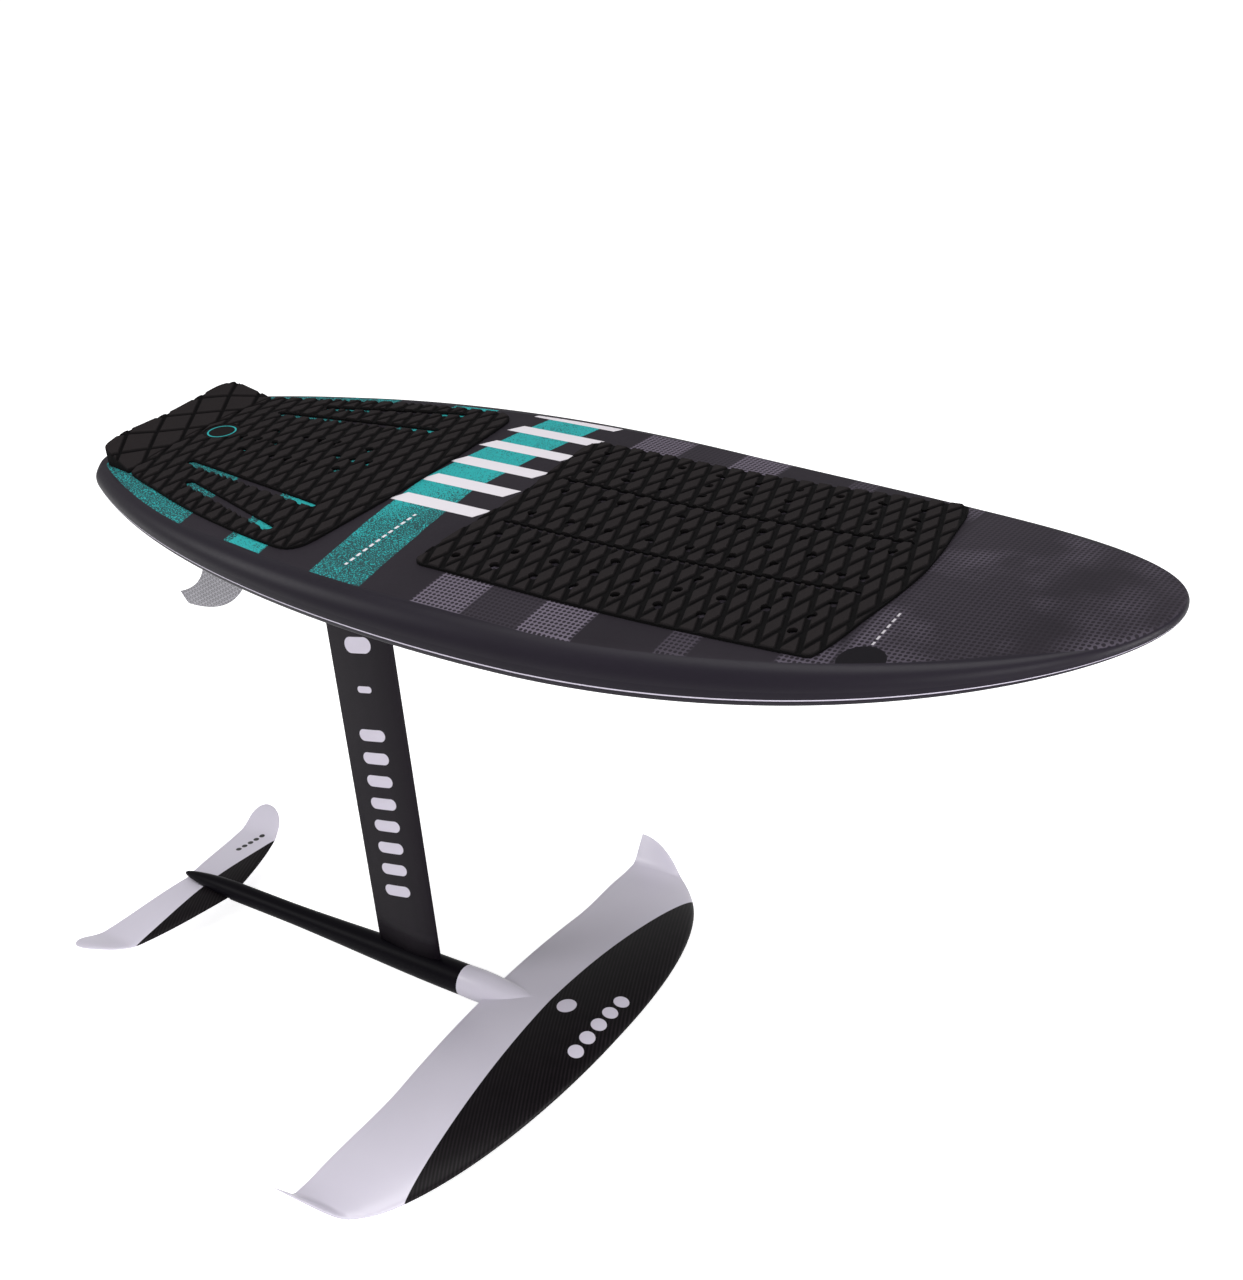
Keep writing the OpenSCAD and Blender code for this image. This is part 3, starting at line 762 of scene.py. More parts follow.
def smooth_profile(profile, extra=0.0):
    """More points on a profile, along Catmull-Rom arcs, with the radii grown by extra."""
    result = []
    for i in range(len(profile) - 1):
        p0 = profile[max(i - 1, 0)]
        p1 = profile[i]
        p2 = profile[i + 1]
        p3 = profile[min(i + 2, len(profile) - 1)]
        for t in spread(0, 1, PROFILE_STEPS + 1)[:-1]:
            square = 2 * p0[1] - 5 * p1[1] + 4 * p2[1] - p3[1]
            cube = 3 * p1[1] - p0[1] - 3 * p2[1] + p3[1]
            radius = 0.5 * (2 * p1[1] + (p2[1] - p0[1]) * t + square * t * t + cube * t ** 3)
            result.append((mix(p1[0], p2[0], t), max(radius, 0.4) + extra))
    result.append((profile[-1][0], profile[-1][1] + extra))
    return result


def mast_piece():
    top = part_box("mast")[1].z / MM
    front = MAST_X + MAST_CHORD / 2
    section = foil_ring(MAST_CHORD, MAST_T / MAST_CHORD, 0, 28)
    rings = [[(front + x, y, z) for x, y in section] for z in spread(AXIS_Z, top, 12)]
    piece = build_mesh("mast_section", *loft(rings), sharp_angle=50)
    cope = lathe_piece("cope", smooth_profile(FUSE_PROFILE, 0.15), (0, 0, AXIS_Z), "x", 64)
    return cut(piece, [cope])


def fuselage_piece():
    profile = smooth_profile(FUSE_PROFILE) + [(FUSE_FRONT, SPIGOT_R), (FUSE_FRONT + SPIGOT_L, SPIGOT_R)]
    piece = lathe_piece("fuselage_bar", profile, (0, 0, AXIS_Z), "x", 64)
    seat = box_piece((FUSE_BACK - 10, -SEAT_HALF, SEAT_Z - 2 * SEAT_HALF), (SEAT_FRONT, SEAT_HALF, SEAT_Z))
    wells = screw_wells([MAST_X + x for x in FOOT_SCREWS], AXIS_Z, FOOT_WELL)
    cut(piece, [seat, wells])
    finish_mesh(piece.data, 35)
    return piece


FRONT_NOSE_X = 86.5
FRONT_SWEEP = 233
FRONT_TAIL_X = -124.5
FRONT_TAIL_SWEEP = 22.5
TAIL_SWEEP_Y = 200
TAIL_SWEEP_W = 190
FRONT_DROOP = 40
DROOP_Y = 337
# The droop levels out here, and farther out the tips turn up from a rounded crease.
LEVEL_Y = 362
LEVEL_R = 14
CREASE_Y = 0.935 * FRONT_HALF_SPAN
CREASE_R = 7
WINGLET = math.tan(math.radians(54))
# Section of the front wing at its root and at its tips.
FRONT_RATIO = (0.135, 0.08)
FRONT_CAMBER = (0.03, 0.012)
FRONT_PITCH = 2
TIP_CHORD = 4


def front_le_x(y):
    return FRONT_NOSE_X - FRONT_SWEEP * (1 - math.sqrt(max(0, 1 - (y / FRONT_HALF_SPAN) ** 2)))


def front_te_x(y):
    return FRONT_TAIL_X - FRONT_TAIL_SWEEP * smooth((abs(y) - TAIL_SWEEP_Y) / TAIL_SWEEP_W)


def front_lift(y):
    level = abs(y) - soft_ramp(abs(y) - LEVEL_Y, LEVEL_R)
    return -FRONT_DROOP * (level / DROOP_Y) ** 2 + WINGLET * soft_ramp(abs(y) - CREASE_Y, CREASE_R)


def front_ring(y):
    out = abs(y) / FRONT_HALF_SPAN
    le = front_le_x(y)
    chord = max(TIP_CHORD, le - front_te_x(y))
    slope = WINGLET * clamp((abs(y) - CREASE_Y + CREASE_R) / (2 * CREASE_R))
    lean = math.copysign(math.atan(slope), y)
    pitch = math.radians(FRONT_PITCH * (1 - out))
    ring = []
    for x, z in foil_ring(chord, mix(*FRONT_RATIO, out), mix(*FRONT_CAMBER, out), 24):
        up = z + (chord + x) * math.sin(pitch)
        ring.append((le + x, y - up * math.sin(lean), AXIS_Z + front_lift(y) + up * math.cos(lean)))
    return ring


def both_sides(half):
    return [-y for y in reversed(half[1:])] + half


def front_wing_piece():
    """Rings stand close together round the crease and towards the tips."""
    inner = spread(0, 0.86 * FRONT_HALF_SPAN, 44)
    outer = [FRONT_HALF_SPAN * f for f in spread(0.866, 0.972, 26)]
    tip = [FRONT_HALF_SPAN * (1 - 0.028 * (1 - t) ** 2) for t in spread(0.12, 0.93, 12)]
    rings = [front_ring(y) for y in both_sides(inner + outer + tip)]
    piece = build_mesh("front_wing_shell", *loft(rings), sharp_angle=50)
    cut(piece, [collar_piece()], "UNION")
    bore_r = SPIGOT_R + 0.05
    bore_x = (FUSE_FRONT - 2, FUSE_FRONT + SPIGOT_L + 2)
    bore = lathe_piece("bore", [(x, bore_r) for x in bore_x], (0, 0, AXIS_Z), "x", 48)
    cut(piece, [bore, screw_wells(WING_SCREWS, AXIS_Z, WING_WELL)])
    finish_mesh(piece.data, 30)
    return piece


def collar_piece():
    """The pale sleeve over the fuselage's spigot; it sinks into the wing as a tapering ridge."""
    rings = []
    for x in spread(FUSE_FRONT + 0.4, COLLAR_END, 40):
        f = clamp((x - COLLAR_TAPER_X) / (COLLAR_END - COLLAR_TAPER_X))
        radius = COLLAR_R + COLLAR_BULGE * math.sin(math.pi * clamp((x - FUSE_FRONT) / COLLAR_BULGE_L))
        wide = radius * math.sqrt(max(0.0025, 1 - f ** 2.2))
        high = mix(radius, COLLAR_TOP, smooth(f * 1.1))
        low = -mix(radius, COLLAR_BELLY, smooth(f))
        centre = (high + low) / 2
        tall = (high - low) / 2
        ring = []
        for i in range(COLLAR_SIDES):
            angle = 2 * math.pi * i / COLLAR_SIDES
            z = centre + tall * math.sin(angle)
            ring.append((x, wide * math.cos(angle), AXIS_Z + z))
        rings.append(ring)
    return build_mesh("collar", *capped(rings))


REAR_NOSE_X = -617
REAR_SWEEP = 72
REAR_TAIL_X = -711.5
REAR_ROOT_Z = -10.5
REAR_RATIO = 0.1
# The share of the chord from the front at which the tips close.
REAR_CLOSE_AT = 0.6
REAR_SWEEP_Y = 190
REAR_SWEEP_POWER = 1.3
REAR_TAIL_SWEEP = 0.19
# How far the wing hangs, how far its tips turn up, and where along the span each takes place.
REAR_HANG = 12
REAR_HANG_Y = 165
REAR_UPTURN = 17
REAR_UPTURN_Y = 145
REAR_UPTURN_W = 62
# Half width of the wing's recess for the fuselage, and its reach past the seat's ends.
RECESS_HALF = 16
RECESS_PAST = (9, 8)
RECESS_DEPTH = 1.2


def rear_le_x(y):
    return REAR_NOSE_X - REAR_SWEEP * (abs(y) / REAR_SWEEP_Y) ** REAR_SWEEP_POWER


def rear_te_x(y):
    return REAR_TAIL_X - REAR_TAIL_SWEEP * abs(y)


def rear_lift(y):
    """The rear wing hangs a little towards its ends and turns up at the tips."""
    upturn = REAR_UPTURN * smooth((abs(y) - REAR_UPTURN_Y) / REAR_UPTURN_W)
    return REAR_ROOT_Z - REAR_HANG * smooth(abs(y) / REAR_HANG_Y) + upturn


def rear_ring(y):
    closing = max(0, abs(y) - REAR_CLOSE) / (REAR_HALF_SPAN - REAR_CLOSE)
    close = math.sqrt(max(0.002, 1 - closing ** 2))
    middle = mix(rear_le_x(y), rear_te_x(y), REAR_CLOSE_AT)
    chord = (rear_le_x(y) - rear_te_x(y)) * close
    front = middle + REAR_CLOSE_AT * chord
    level = AXIS_Z + rear_lift(y)
    return [(front + x, y, level + z) for x, z in foil_ring(chord, REAR_RATIO, 0, 20)]


def rear_wing_piece():
    inner = spread(0, REAR_CLOSE, 40)
    tip = [mix(REAR_CLOSE, REAR_HALF_SPAN, math.sin(math.radians(a))) for a in spread(6, 90, 14)]
    rings = [rear_ring(y) for y in both_sides(inner + tip)]
    piece = build_mesh("rear_wing_shell", *loft(rings), sharp_angle=50)
    behind, ahead = RECESS_PAST
    recess = box_piece((FUSE_BACK - behind, -RECESS_HALF, SEAT_Z - RECESS_DEPTH),
                       (SEAT_FRONT + ahead, RECESS_HALF, SEAT_Z + SEAT_HALF))
    cut(piece, [recess, screw_wells(TAIL_SCREWS, SEAT_Z, TAIL_WELL)])
    finish_mesh(piece.data, 35)
    return piece


# ---------- materials from nodes ----------
class Field:
    """A number that varies over a surface, built from math nodes; plain numbers mix in freely."""

    def __init__(self, tree, socket):
        self.tree = tree
        self.socket = socket

    def math(self, operation, *others):
        node = self.tree.nodes.new("ShaderNodeMath")
        node.operation = operation
        for slot_index, value in enumerate((self, *others)):
            plug(self.tree, value, node.inputs[slot_index])
        return Field(self.tree, node.outputs[0])

    def __add__(self, other):
        return self.math("ADD", other)

    def __sub__(self, other):
        return self.math("SUBTRACT", other)

    def __mul__(self, other):
        return self.math("MULTIPLY", other)

    def __truediv__(self, other):
        return self.math("DIVIDE", other)

    __radd__ = __add__

    def __rsub__(self, other):
        return (self * -1) + other

    def abs(self):
        return self.math("ABSOLUTE")

    def sqrt(self):
        return self.math("SQRT")

    def min(self, other):
        return self.math("MINIMUM", other)

    def max(self, other):
        return self.math("MAXIMUM", other)

    def power(self, other):
        return self.math("POWER", other)

    def fraction(self):
        return self.math("FRACT")

    def above(self, edge, soft):
        """1 where the field is above the edge, with a ramp of the given softness."""
        return ((self - edge) / soft + 0.5).max(0.0).min(1.0)

    def below(self, edge, soft):
        return 1 - self.above(edge, soft)

    def within(self, low, high, soft):
        return self.above(low, soft) * self.below(high, soft)

    def off_centre(self, pitch):
        """Distance from the middle of each repeat, as a share of the pitch."""
        return ((self / pitch).fraction() - 0.5).abs()


def plug(tree, value, target):
    """Sets a socket to a number, a colour, a Field or another node's output."""
    if isinstance(value, Field):
        tree.links.new(value.socket, target)
    elif isinstance(value, bpy.types.NodeSocket):
        tree.links.new(value, target)
    elif isinstance(value, (tuple, list)):
        target.default_value = tuple(value) + (1.0,) * (len(target.default_value) - len(value))
    else:
        target.default_value = value


class Paint:
    """One material's node tree, with short calls for the things the materials here share."""

    def __init__(self, name):
        self.material = bpy.data.materials.new(name)
        self.material.use_nodes = True
        self.tree = self.material.node_tree
        self.shader = self.tree.nodes["Principled BSDF"]
        self.place = self.tree.nodes.new("ShaderNodeTexCoord").outputs["Object"]
        split = self.tree.nodes.new("ShaderNodeSeparateXYZ")
        self.tree.links.new(self.place, split.inputs[0])
        self.x, self.y, self.z = (Field(self.tree, split.outputs[i]) / MM for i in range(3))

    def noise(self, scale, detail=3.0, roughness=0.5, stretch=(1, 1, 1)):
        """Noise from 0 to 1; scale is in features per metre."""
        mapping = self.tree.nodes.new("ShaderNodeMapping")
        mapping.inputs["Scale"].default_value = stretch
        self.tree.links.new(self.place, mapping.inputs["Vector"])
        node = self.tree.nodes.new("ShaderNodeTexNoise")
        node.inputs["Scale"].default_value = scale
        node.inputs["Detail"].default_value = detail
        node.inputs["Roughness"].default_value = roughness
        self.tree.links.new(mapping.outputs[0], node.inputs["Vector"])
        return Field(self.tree, node.outputs["Fac"])

    def reach(self, x, y):
        """Distance from an upright line through x, y."""
        over = self.x - x
        across = self.y - y
        return (over * over + across * across).sqrt()

    def attribute(self, name):
        node = self.tree.nodes.new("ShaderNodeAttribute")
        node.attribute_name = name
        return Field(self.tree, node.outputs["Fac"])

    def blend(self, first, second, factor):
        node = self.tree.nodes.new("ShaderNodeMix")
        node.data_type = "RGBA"
        plug(self.tree, factor, node.inputs["Factor"])
        plug(self.tree, first, node.inputs[6])
        plug(self.tree, second, node.inputs[7])
        return node.outputs[2]

    def bump(self, height, distance, strength):
        node = self.tree.nodes.new("ShaderNodeBump")
        node.inputs["Strength"].default_value = strength
        node.inputs["Distance"].default_value = distance * MM
        plug(self.tree, height, node.inputs["Height"])
        self.tree.links.new(node.outputs[0], self.shader.inputs["Normal"])

    def set(self, **values):
        for key, value in values.items():
            plug(self.tree, value, self.shader.inputs[key.replace("_", " ")])
        return self.material


def srgb(code):
    """Linear colour from an sRGB triple of 0 to 255."""
    return tuple(((c / 255 + 0.055) / 1.055) ** 2.4 if c > 10 else c / 255 / 12.92 for c in code)


DECK_GREY = srgb((46, 42, 48))
DECK_DARK = srgb((27, 24, 29))
TEAL = srgb((46, 160, 161))
WHITE = srgb((216, 211, 217))
LILAC = srgb((112, 104, 118))
RAIL_DARK = srgb((22, 18, 27))
RAIL_LIGHT = srgb((31, 26, 36))
# Pad foam: its own colour on the diamonds' tops, and a painted shade for the grooves.
PAD_TOP = srgb((39, 35, 36))
PAD_GROOVE_SHADE = srgb((8, 7, 8))
WING_PALE = srgb((218, 213, 226))
WING_SHADE = srgb((206, 201, 215))
CARBON = srgb((13, 11, 13))
CARBON_LIGHT = srgb((38, 33, 37))
HALFTONE_PITCH = 5.6
# Painted bands across the deck, as (back, front).
TEAL_BANDS = ((-560, -325), (-246, -184), (-104, -30))
# Patches of halftone on the deck, as (back, front, strength).
HALFTONES = ((48, 112, 0.8), (112, 182, 0.1), (182, 245, 0.8), (335, 368, 0.25), (455, 505, 0.45))
# Evenly spaced slanted white bars between the pads.
BAR_ENDS = (-122, -2)
BAR_FIRST = -62
BAR_LAST = 240
BAR_STEP = 57
BAR_WIDTH = 22
BAR_SLANT = 0.5
# Thin dashed lines across the deck, as (back, front, starboard end, port end, strength).
DASHED_LINES = ((-68, -64.5, -205, -82, 1), (529, 531.5, -140, -80, 0.7))
DASH_STEP = 11
DISC_AT = (532, -167)
DISC_R = 24
DISC_BLACK = srgb((22, 20, 24))
# The pale line low on the rail: its band of rail height, and how far it may stand inside the paint's edge.
PINLINE = (0.138, 0.166)
PINLINE_REACH = 6
PINLINE_PALE = srgb((205, 198, 214))
MARK_PALE = srgb((214, 208, 222))
MARK_DARK = srgb((30, 28, 32))


# Outline points on each side in which the nearest edge is looked for.
NEARBY = 20


def add_paint_attributes(piece):
    """Stores how far inside the painted deck edge a point is, and how high up the rail."""
    outline = [Vector(p) for p in OUTLINE]
    rail = []
    height = []
    for vertex in piece.data.vertices:
        x, y, z = vertex.co / MM
        here = Vector((x, abs(y)))
        i = int(clamp(bisect_right(OUTLINE_X, x) + ACROSS, 1, len(outline) - 2))
        near = range(max(0, i - NEARBY), min(len(outline) - 1, i + NEARBY))
        reach = min(distance_to_segment(here, outline[k], outline[k + 1]) for k in near)
        rail.append(reach - painted_inset(x))
        height.append((z - edge_z(clamp(x, TAIL_X, NOSE_X))) / rail_t(clamp(x, TAIL_X, NOSE_X)))
    for name, values in (("inside_paint", rail), ("rail_height", height)):
        layer = piece.data.attributes.new(name, "FLOAT", "POINT")
        layer.data.foreach_set("value", values)


def distance_to_segment(p, a, b):
    f = clamp((p - a).dot(b - a) / max((b - a).length_squared, 1e-9))
    return (p - a.lerp(b, f)).length


def painted_inset(x):
    """Width of the dark rail seen from above: widest amidships, closing at the nose."""
    return 16 + 8 * smooth((x + 340) / 130) - 8 * smooth((x - 60) / 200) - 14 * smooth((x - 640) / 110)


def halftone(paint):
    """0 in the dots and 1 between them."""
    across = paint.x.off_centre(HALFTONE_PITCH)
    down = paint.y.off_centre(HALFTONE_PITCH)
    return (across * across + down * down).sqrt().above(0.36, 0.1)


def any_of(fields):
    """The highest of some fields."""
    return reduce(Field.max, fields)


def halftone_strength(paint):
    """How strongly the halftone shows: in patches beside the front pad, and in clouds over the nose."""
    patches = any_of(paint.x.within(low, high, 3) * strength for low, high, strength in HALFTONES)
    patches = patches * paint.y.abs().above(150, 30)
    fading = 1 - paint.x.within(648, 700, 40) * 0.65 - paint.x.above(700, 60) * 0.3
    clouds = paint.noise(9, 2).above(0.52, 0.2) * 0.42 + 0.12
    return patches.max(paint.x.above(508, 16) * clouds * fading)


def worn_bands(paint):
    """The teal bands, with wavering edges, worn through in specks that gather towards the starboard side
    of the front band and over the tail."""
    wave = (paint.noise(14, 1) - 0.5) * 4
    across = paint.x - (paint.y.abs() - 150) * 0.1 + wave
    bands = any_of(across.within(low, high, 0.8) for low, high in TEAL_BANDS)
    nearer = (paint.x + 104) / 90 - (paint.y + 40) / 160
    worn = nearer.max(paint.x.below(-230, 1) * 0.9).min(1.0) * 0.2 + (paint.noise(14, 2) - 0.5) * 0.16
    return bands * (1 - (paint.noise(620, 1) + worn).above(0.62, 0.05) * 0.85)


def slanted_bars(paint):
    over = ((paint.y - BAR_FIRST) / BAR_STEP).fraction() * BAR_STEP
    bars = (paint.x - over * BAR_SLANT).within(*BAR_ENDS, 0.5) * over.within(0.3, BAR_WIDTH, 0.5)
    return bars * paint.y.within(BAR_FIRST, BAR_LAST, 0.5)


def dashed_lines(paint):
    dashes = (paint.y / DASH_STEP).fraction().within(0.15, 0.75, 0.05)
    return any_of(paint.x.within(back, front, 0.5) * paint.y.within(start, end, 0.5) * dashes * strength
                  for back, front, start, end, strength in DASHED_LINES)


def deck_paint():
    paint = Paint("deck_paint")
    broad = paint.noise(5, 3)
    grain = paint.noise(190, 4)
    colour = paint.blend(DECK_GREY, DECK_DARK, broad.above(0.5, 0.5) * 0.55)
    colour = paint.blend(colour, LILAC, halftone_strength(paint) * halftone(paint))
    colour = paint.blend(colour, TEAL, worn_bands(paint))
    colour = paint.blend(colour, WHITE, slanted_bars(paint).max(dashed_lines(paint)))
    colour = paint.blend(colour, DISC_BLACK, paint.reach(*DISC_AT).below(DISC_R, 0.5))
    inside = paint.attribute("inside_paint").above(0, 0.8)
    rail = paint.blend(RAIL_DARK, RAIL_LIGHT, broad)
    colour = paint.blend(rail, colour, inside)
    rough = mix_field(0.4, 0.6, inside) + (grain - 0.5) * 0.12
    paint.bump(grain, 0.05, 0.35)
    return paint.set(Base_Color=colour, Roughness=rough, Specular_IOR_Level=mix_field(0.2, 0.07, inside))


def mix_field(a, b, f):
    return f * (b - a) + a


def hull_paint():
    paint = Paint("hull_paint")
    broad = paint.noise(5, 3)
    grain = paint.noise(190, 4)
    colour = paint.blend(RAIL_DARK, RAIL_LIGHT, broad)
    line = paint.attribute("rail_height").within(*PINLINE, 0.008)
    line = line * paint.attribute("inside_paint").below(PINLINE_REACH, 1)
    colour = paint.blend(colour, PINLINE_PALE, line)
    paint.bump(grain, 0.05, 0.35)
    return paint.set(Base_Color=colour, Roughness=(grain - 0.5) * 0.12 + 0.4, Specular_IOR_Level=0.15)


def pad_foam():
    paint = Paint("pad_foam")
    broad = paint.noise(22, 3)
    grain = paint.noise(900, 3, 0.6)
    raised = paint.attribute("raised")
    # Painted shade: the foam darkens from the diamonds' tops down into the grooves, where shadow falls.
    colour = paint.blend(PAD_GROOVE_SHADE, PAD_TOP, raised.power(1.5) * (grain * 0.5 + broad * 0.3 + 0.35))
    colour = paint.blend(colour, TEAL, paint.reach(*BADGE_AT).within(*BADGE_RING, 0.4))
    paint.bump(grain, 0.35, 0.6)
    return paint.set(Base_Color=colour, Roughness=0.85 + (broad - 0.5) * 0.2, Specular_IOR_Level=0.1)


def wing_gloss(name, boundary, marks):
    """Pale gloss with black carbon ahead of a boundary, and plain round marks. The boundary is at the
    x given by its middle and its sweep per square millimetre of y; marks are (x, y, radius, colour)."""
    paint = Paint(name)
    broad = paint.noise(7, 2)
    pale = paint.blend(WING_PALE, WING_SHADE, broad)
    weave = ((paint.x + paint.y * 0.45) / 5.2).fraction().within(0.3, 0.7, 0.3)
    black = paint.blend(CARBON, CARBON_LIGHT, weave * (0.25 + paint.noise(60, 2) * 0.8))
    middle, sweep = boundary
    front = (paint.x - (paint.y * paint.y * sweep + middle)).above(0, 0.5)
    colour = paint.blend(pale, black, front)
    for x, y, radius, tint in marks:
        colour = paint.blend(colour, tint, paint.reach(x, y).below(radius, 0.4))
    paint.bump(weave * front + broad, 0.02, 0.2)
    return paint.set(Base_Color=colour, Roughness=mix_field(0.3, 0.36, front) + (broad - 0.5) * 0.06,
                     Specular_IOR_Level=mix_field(0.4, 0.1, front), Coat_Weight=mix_field(0.25, 0.0, front),
                     Coat_Roughness=0.1)


# Plain slanted dashes up the mast, as (height, length, half width): a column, a small one, and a pair.
MAST_DASH_SLANT = 0.25
MAST_COLUMN = [(-594 + 36 * i, 48, 9) for i in range(8)]
MAST_DASHES = MAST_COLUMN + [(-272, 26, 5), (-206, 48, 12), (-170, 48, 12)]


def mast_dash(paint, middle, length, wide):
    """A slanted dash with round ends across the mast, centred on a height."""
    over = paint.x - MAST_X
    up = paint.z - middle - over * MAST_DASH_SLANT
    past = (over.abs() - (length / 2 - wide)).max(0.0)
    return (up * up + past * past).sqrt().below(wide, 0.5)


def mast_black():
    paint = Paint("mast_black")
    grain = paint.noise(700, 3)
    streak = paint.noise(60, 3, 0.5, (1, 1, 0.05))
    colour = paint.blend(srgb((19, 14, 21)), srgb((27, 21, 29)), streak)
    marks = any_of(mast_dash(paint, *dash) for dash in MAST_DASHES) * paint.y.abs().above(4, 0.5)
    colour = paint.blend(colour, MARK_PALE, marks)
    paint.bump(grain, 0.08, 0.4)
    return paint.set(Base_Color=colour, Roughness=0.5 + (grain - 0.5) * 0.15, Specular_IOR_Level=0.15)


def bar_black():
    paint = Paint("bar_black")
    grain = paint.noise(420, 3)
    streak = paint.noise(40, 3, 0.5, (0.05, 1, 1))
    colour = paint.blend(srgb((8, 6, 11)), srgb((13, 11, 17)), streak)
    paint.bump(grain, 0.06, 0.3)
    return paint.set(Base_Color=colour, Roughness=0.38 + (grain - 0.5) * 0.1, Specular_IOR_Level=0.06)


FIN_CELL = 5


def fin_glass():
    paint = Paint("fin_glass")
    directions = (paint.x, paint.x * 0.5 + paint.z * 0.866, paint.x * 0.5 - paint.z * 0.866)
    walls = any_of(direction.off_centre(FIN_CELL) for direction in directions).above(0.42, 0.06)
    share = walls * 0.8 + paint.noise(30) * 0.2
    colour = paint.blend(srgb((120, 118, 124)), srgb((196, 194, 202)), share)
    paint.bump(walls, 0.05, 0.3)
    return paint.set(Base_Color=colour, Roughness=0.25, Transmission_Weight=0.35, IOR=1.45, Coat_Weight=0.5,
                     Coat_Roughness=0.05)


def steel(name="steel", tint=(196, 197, 200)):
    paint = Paint(name)
    scratch = paint.noise(900, 4, 0.6, (1, 1, 0.1))
    colour = paint.blend(srgb(tint), srgb(tuple(int(c * 0.82) for c in tint)), scratch)
    paint.bump(scratch, 0.03, 0.3)
    return paint.set(Base_Color=colour, Metallic=1.0, Roughness=0.28 + scratch * 0.12)


def moulded(name, tint, roughness=0.55, grain_scale=500):
    paint = Paint(name)
    grain = paint.noise(grain_scale, 3)
    colour = paint.blend(srgb(tint), srgb(tuple(int(c * 0.8) for c in tint)), paint.noise(25, 3))
    paint.bump(grain, 0.08, 0.4)
    return paint.set(Base_Color=colour, Roughness=roughness + (grain - 0.5) * 0.15)


# ---------- assembly ----------
OPENING_GAP = 0.3
OPENING_RISE = 6
REST_HALF = (105, 65)
REST_DEPTH = 5


def opening(node, depth):
    """A cutter for the hole in the hull below a box-shaped node."""
    low, high = (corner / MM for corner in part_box(node))
    return box_piece((low.x - OPENING_GAP, low.y - OPENING_GAP, low.z - depth),
                     (high.x + OPENING_GAP, high.y + OPENING_GAP, low.z + OPENING_RISE))


def place(piece, name, body, material, slot_name, replaced):
    piece.name = name
    piece.data.name = name
    piece.data.materials.clear()
    piece.data.materials.append(material)
    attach(piece, body)
    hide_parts(replaced)


def build_board():
    deck = skin_piece("deck", deck_z, shoulder)
    add_paint_attributes(deck)
    place(deck, "deck_laminate", "board", deck_paint(), "board_paint", "deck_skin")
    hull = skin_piece("hull", hull_z, tuck)
    openings = [opening(n, depth=5) for n in ("track_box_left", "track_box_right")]
    openings += [opening(n, depth=12) for n in ("fin_box_left", "fin_box_right")]
    half_x, half_y = REST_HALF
    rest = box_piece((-half_x, -half_y, -REST_DEPTH), (half_x, half_y, 0))
    cut(hull, [joined(openings), rest])
    finish_mesh(hull.data, 35)
    add_paint_attributes(hull)
    place(hull, "hull_laminate", "board", hull_paint(), "board_paint", "hull_skin")


def build_pads():
    foam = pad_foam()
    front = pad_piece("front", front_pad_outline(), FRONT_PATTERN, front_pad_holes())
    place(front, "front_traction_pad", "board", foam, "pad_foam", "front_pad")
    rear = pad_piece("rear", rear_pad_outline(), REAR_PATTERN, rear_pad_holes(), badge=BADGE_AT)
    place(rear, "rear_traction_pad", "board", foam, "pad_foam", "rear_pad")
    kick = pad_piece("kick", kick_outline(), KICK_PATTERN, [], thickness=kick_height)
    place(kick, "tail_kick_block", "board", foam, "pad_foam", "tail_kick")


# Where the wings' carbon begins, as (x in the middle, sweep), and the marks on them.
FRONT_BOUNDARY = (-24, 13.6 / 335 ** 2)
REAR_BOUNDARY = (-667.6, -2 / 148 ** 2)
FRONT_MARKS = [(3.5, 0, 13.5, MARK_PALE)] + [(60, 27 * i - 62, 10.5, MARK_PALE) for i in range(5)]
REAR_MARKS = [(-697 + i, 98 + 12 * i, 4.5, MARK_DARK) for i in range(5)]


def build_foil():
    place(mast_piece(), "mast_blade", "foil", mast_black(), "black_metal", "mast")
    place(fuselage_piece(), "fuselage_body", "foil", bar_black(), "black_composite", "fuselage")
    front = wing_gloss("front_wing_gloss", FRONT_BOUNDARY, FRONT_MARKS)
    place(front_wing_piece(), "front_wing_body", "foil", front, "wing_gloss", "front_wing")
    rear = wing_gloss("rear_wing_gloss", REAR_BOUNDARY, REAR_MARKS)
    place(rear_wing_piece(), "rear_wing_body", "foil", rear, "wing_gloss", "rear_wing")


def build_fins():
    glass = fin_glass()
    for name, side in (("left", 1), ("right", -1)):
        place(fin_piece("fin", side), "side_fin_" + name, "board", glass, "fin_composite", "fin_" + name)


def dress_cad_nodes():
    plastic = moulded("box_plastic", (38, 38, 41))
    looks = {
        "foam_core": moulded("core_foam", (236, 232, 222), 0.9, 260),
        "core_block": moulded("dense_foam", (196, 172, 120), 0.85, 300),
        "base_plate": moulded("plate_black", (40, 39, 43), 0.42, 800),
        "rear_wing_shim": moulded("shim_grey", (140, 141, 146)),
        "track_nuts": steel("brass", (196, 170, 104)),
    }
    bright = steel()
    for name in ("track_box_left", "track_box_right", "fin_box_left", "fin_box_right"):
        looks[name] = plastic
    for name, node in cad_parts.items():
        if name.endswith(("screws", "bolts", "washers")):
            looks[name] = bright
        if name in looks:
            node.data.materials.clear()
            node.data.materials.append(looks[name])


# ---------- floor, light and camera ----------
def area_light(name, place_at, aim_at, size, power):
    data = bpy.data.lights.new(name, "AREA")
    data.shape = "RECTANGLE"
    data.size, data.size_y = size
    data.energy = power
    light = bpy.data.objects.new(name, data)
    bpy.context.scene.collection.objects.link(light)
    light.location = place_at
    light.rotation_euler = (Vector(aim_at) - Vector(place_at)).to_track_quat("-Z", "Y").to_euler()


AMBIENT = 0.4
FLOOR_GLOW = 0.1
FLOOR_SEEN = 0.7
FLOOR_HALF = 30000
FLOOR_GAP = 1
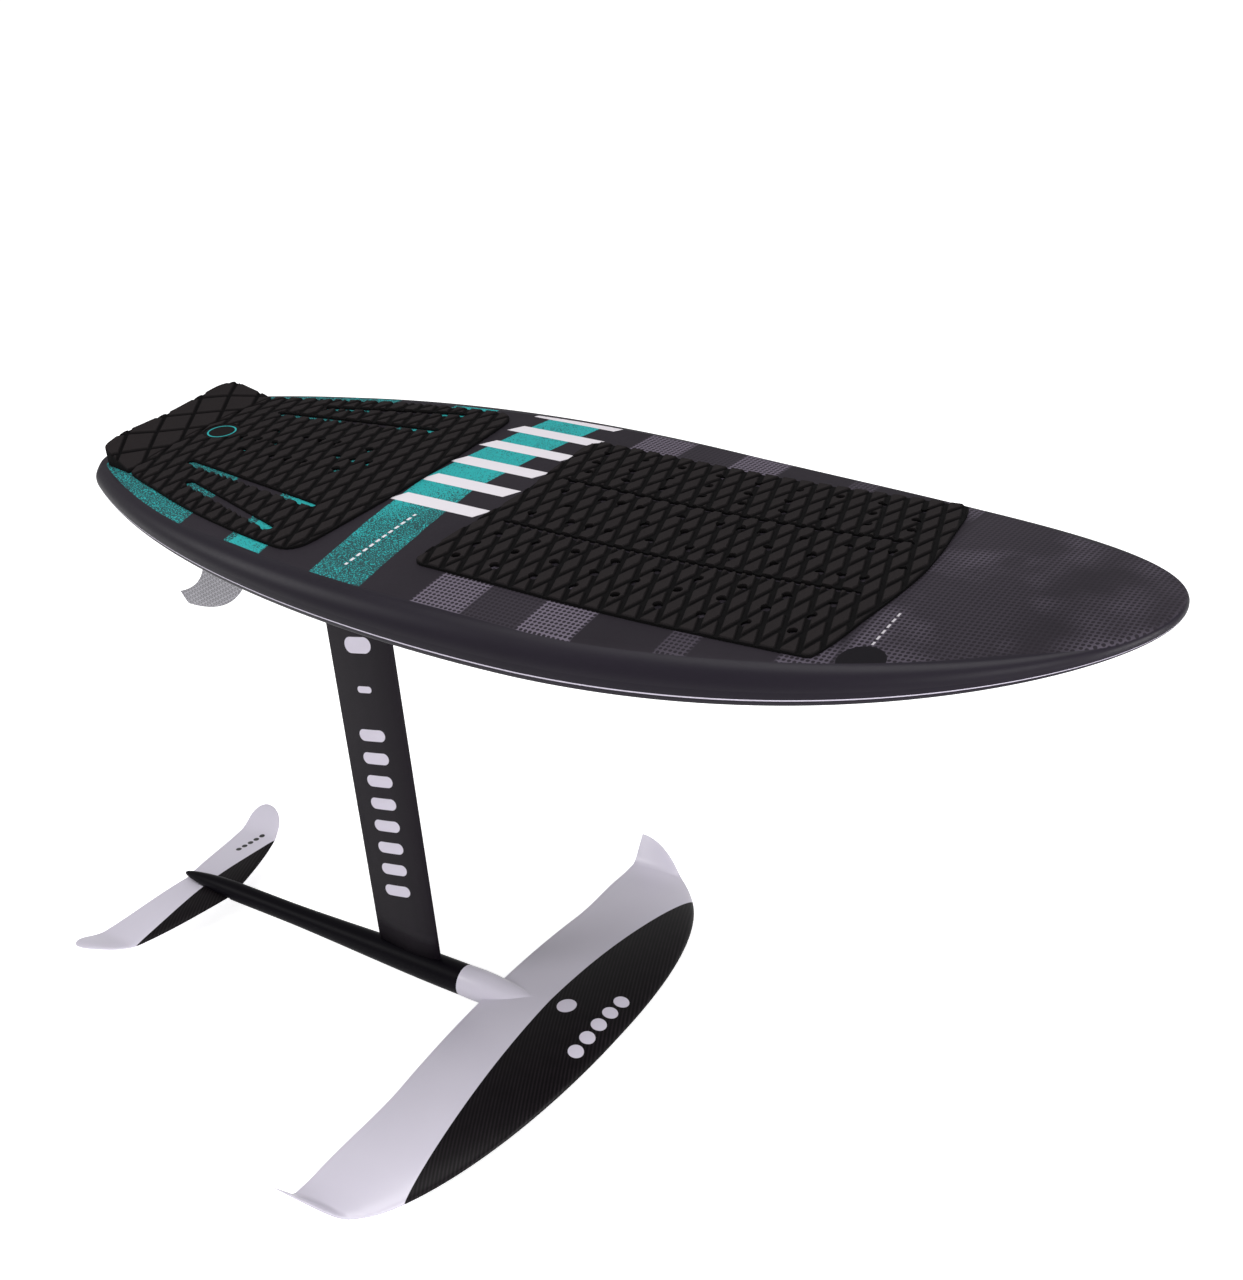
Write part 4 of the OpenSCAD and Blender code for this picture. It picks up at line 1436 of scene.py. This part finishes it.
# Area lights, as (name, place, aim, size, power).
LIGHTS = (("overhead", (0.2, -0.4, 3.2), (0, 0, 0), (3.2, 2.4), 80),
          ("front", (2.4, -3.2, 1.2), (0.1, 0, -0.4), (1.6, 1.6), 42),
          ("left", (-3.0, -2.0, 1.6), (-0.1, 0, -0.2), (1.4, 1.6), 30),
          ("low", (2.6, -0.3, 0.0), (0.05, 0.05, -0.75), (1.6, 0.8), 34))


def for_camera(tree, seen, otherwise):
    """One value on the way straight to the camera, and another for the light that reaches the board."""
    ray = Field(tree, tree.nodes.new("ShaderNodeLightPath").outputs["Is Camera Ray"])
    return mix_field(otherwise, seen, ray)


def build_floor():
    """A wide pale sheet just under the lowest point."""
    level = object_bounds()[0][2] / MM - FLOOR_GAP
    corners = ((-FLOOR_HALF, -FLOOR_HALF), (FLOOR_HALF, -FLOOR_HALF), (FLOOR_HALF, FLOOR_HALF),
               (-FLOOR_HALF, FLOOR_HALF))
    floor = build_mesh("floor", [(x, y, level) for x, y in corners], [(0, 1, 2, 3)])
    paint = Paint("floor_white")
    colour = paint.blend((0.9, 0.9, 0.905), (0.92, 0.92, 0.925), paint.noise(0.5))
    glow = for_camera(paint.tree, FLOOR_SEEN, FLOOR_GLOW)
    floor.data.materials.append(paint.set(Base_Color=colour, Roughness=0.9, Emission_Color=(1, 1, 1),
                                          Emission_Strength=glow))


def build_stage():
    build_floor()
    world = bpy.data.worlds.new("studio")
    bpy.context.scene.world = world
    world.use_nodes = True
    tree = world.node_tree
    backdrop = tree.nodes["Background"]
    backdrop.inputs["Color"].default_value = (1, 1, 1, 1)
    plug(tree, for_camera(tree, 1.0, AMBIENT), backdrop.inputs["Strength"])
    bpy.context.scene.view_settings.view_transform = "Standard"
    for light in LIGHTS:
        area_light(*light)


CAMERA_AT = (1.2154, -1.4981, 0.9160)
CAMERA_AZIMUTH = 35.588
CAMERA_ELEVATION = 28.940
CAMERA_ROLL = -4.859
CAMERA_LENS = 52.095


def build_camera():
    azimuth = math.radians(CAMERA_AZIMUTH)
    elevation = math.radians(CAMERA_ELEVATION)
    roll = math.radians(CAMERA_ROLL)
    back = Vector((math.sin(azimuth) * math.cos(elevation), -math.cos(azimuth) * math.cos(elevation),
                   math.sin(elevation)))
    level = Vector((math.cos(azimuth), math.sin(azimuth), 0))
    upright = back.cross(level)
    right = level * math.cos(roll) + upright * math.sin(roll)
    up = back.cross(right)
    data = bpy.data.cameras.new("camera")
    data.lens = CAMERA_LENS
    data.sensor_width = 36
    data.sensor_height = 36
    data.clip_start = 0.05
    data.clip_end = 100
    camera = bpy.data.objects.new("camera", data)
    bpy.context.scene.collection.objects.link(camera)
    turn = Matrix((right, up, back)).transposed().to_4x4()
    camera.matrix_world = Matrix.Translation(CAMERA_AT) @ turn
    bpy.context.scene.camera = camera


build_board()
build_pads()
build_fins()
build_foil()
dress_cad_nodes()
build_stage()
build_camera()
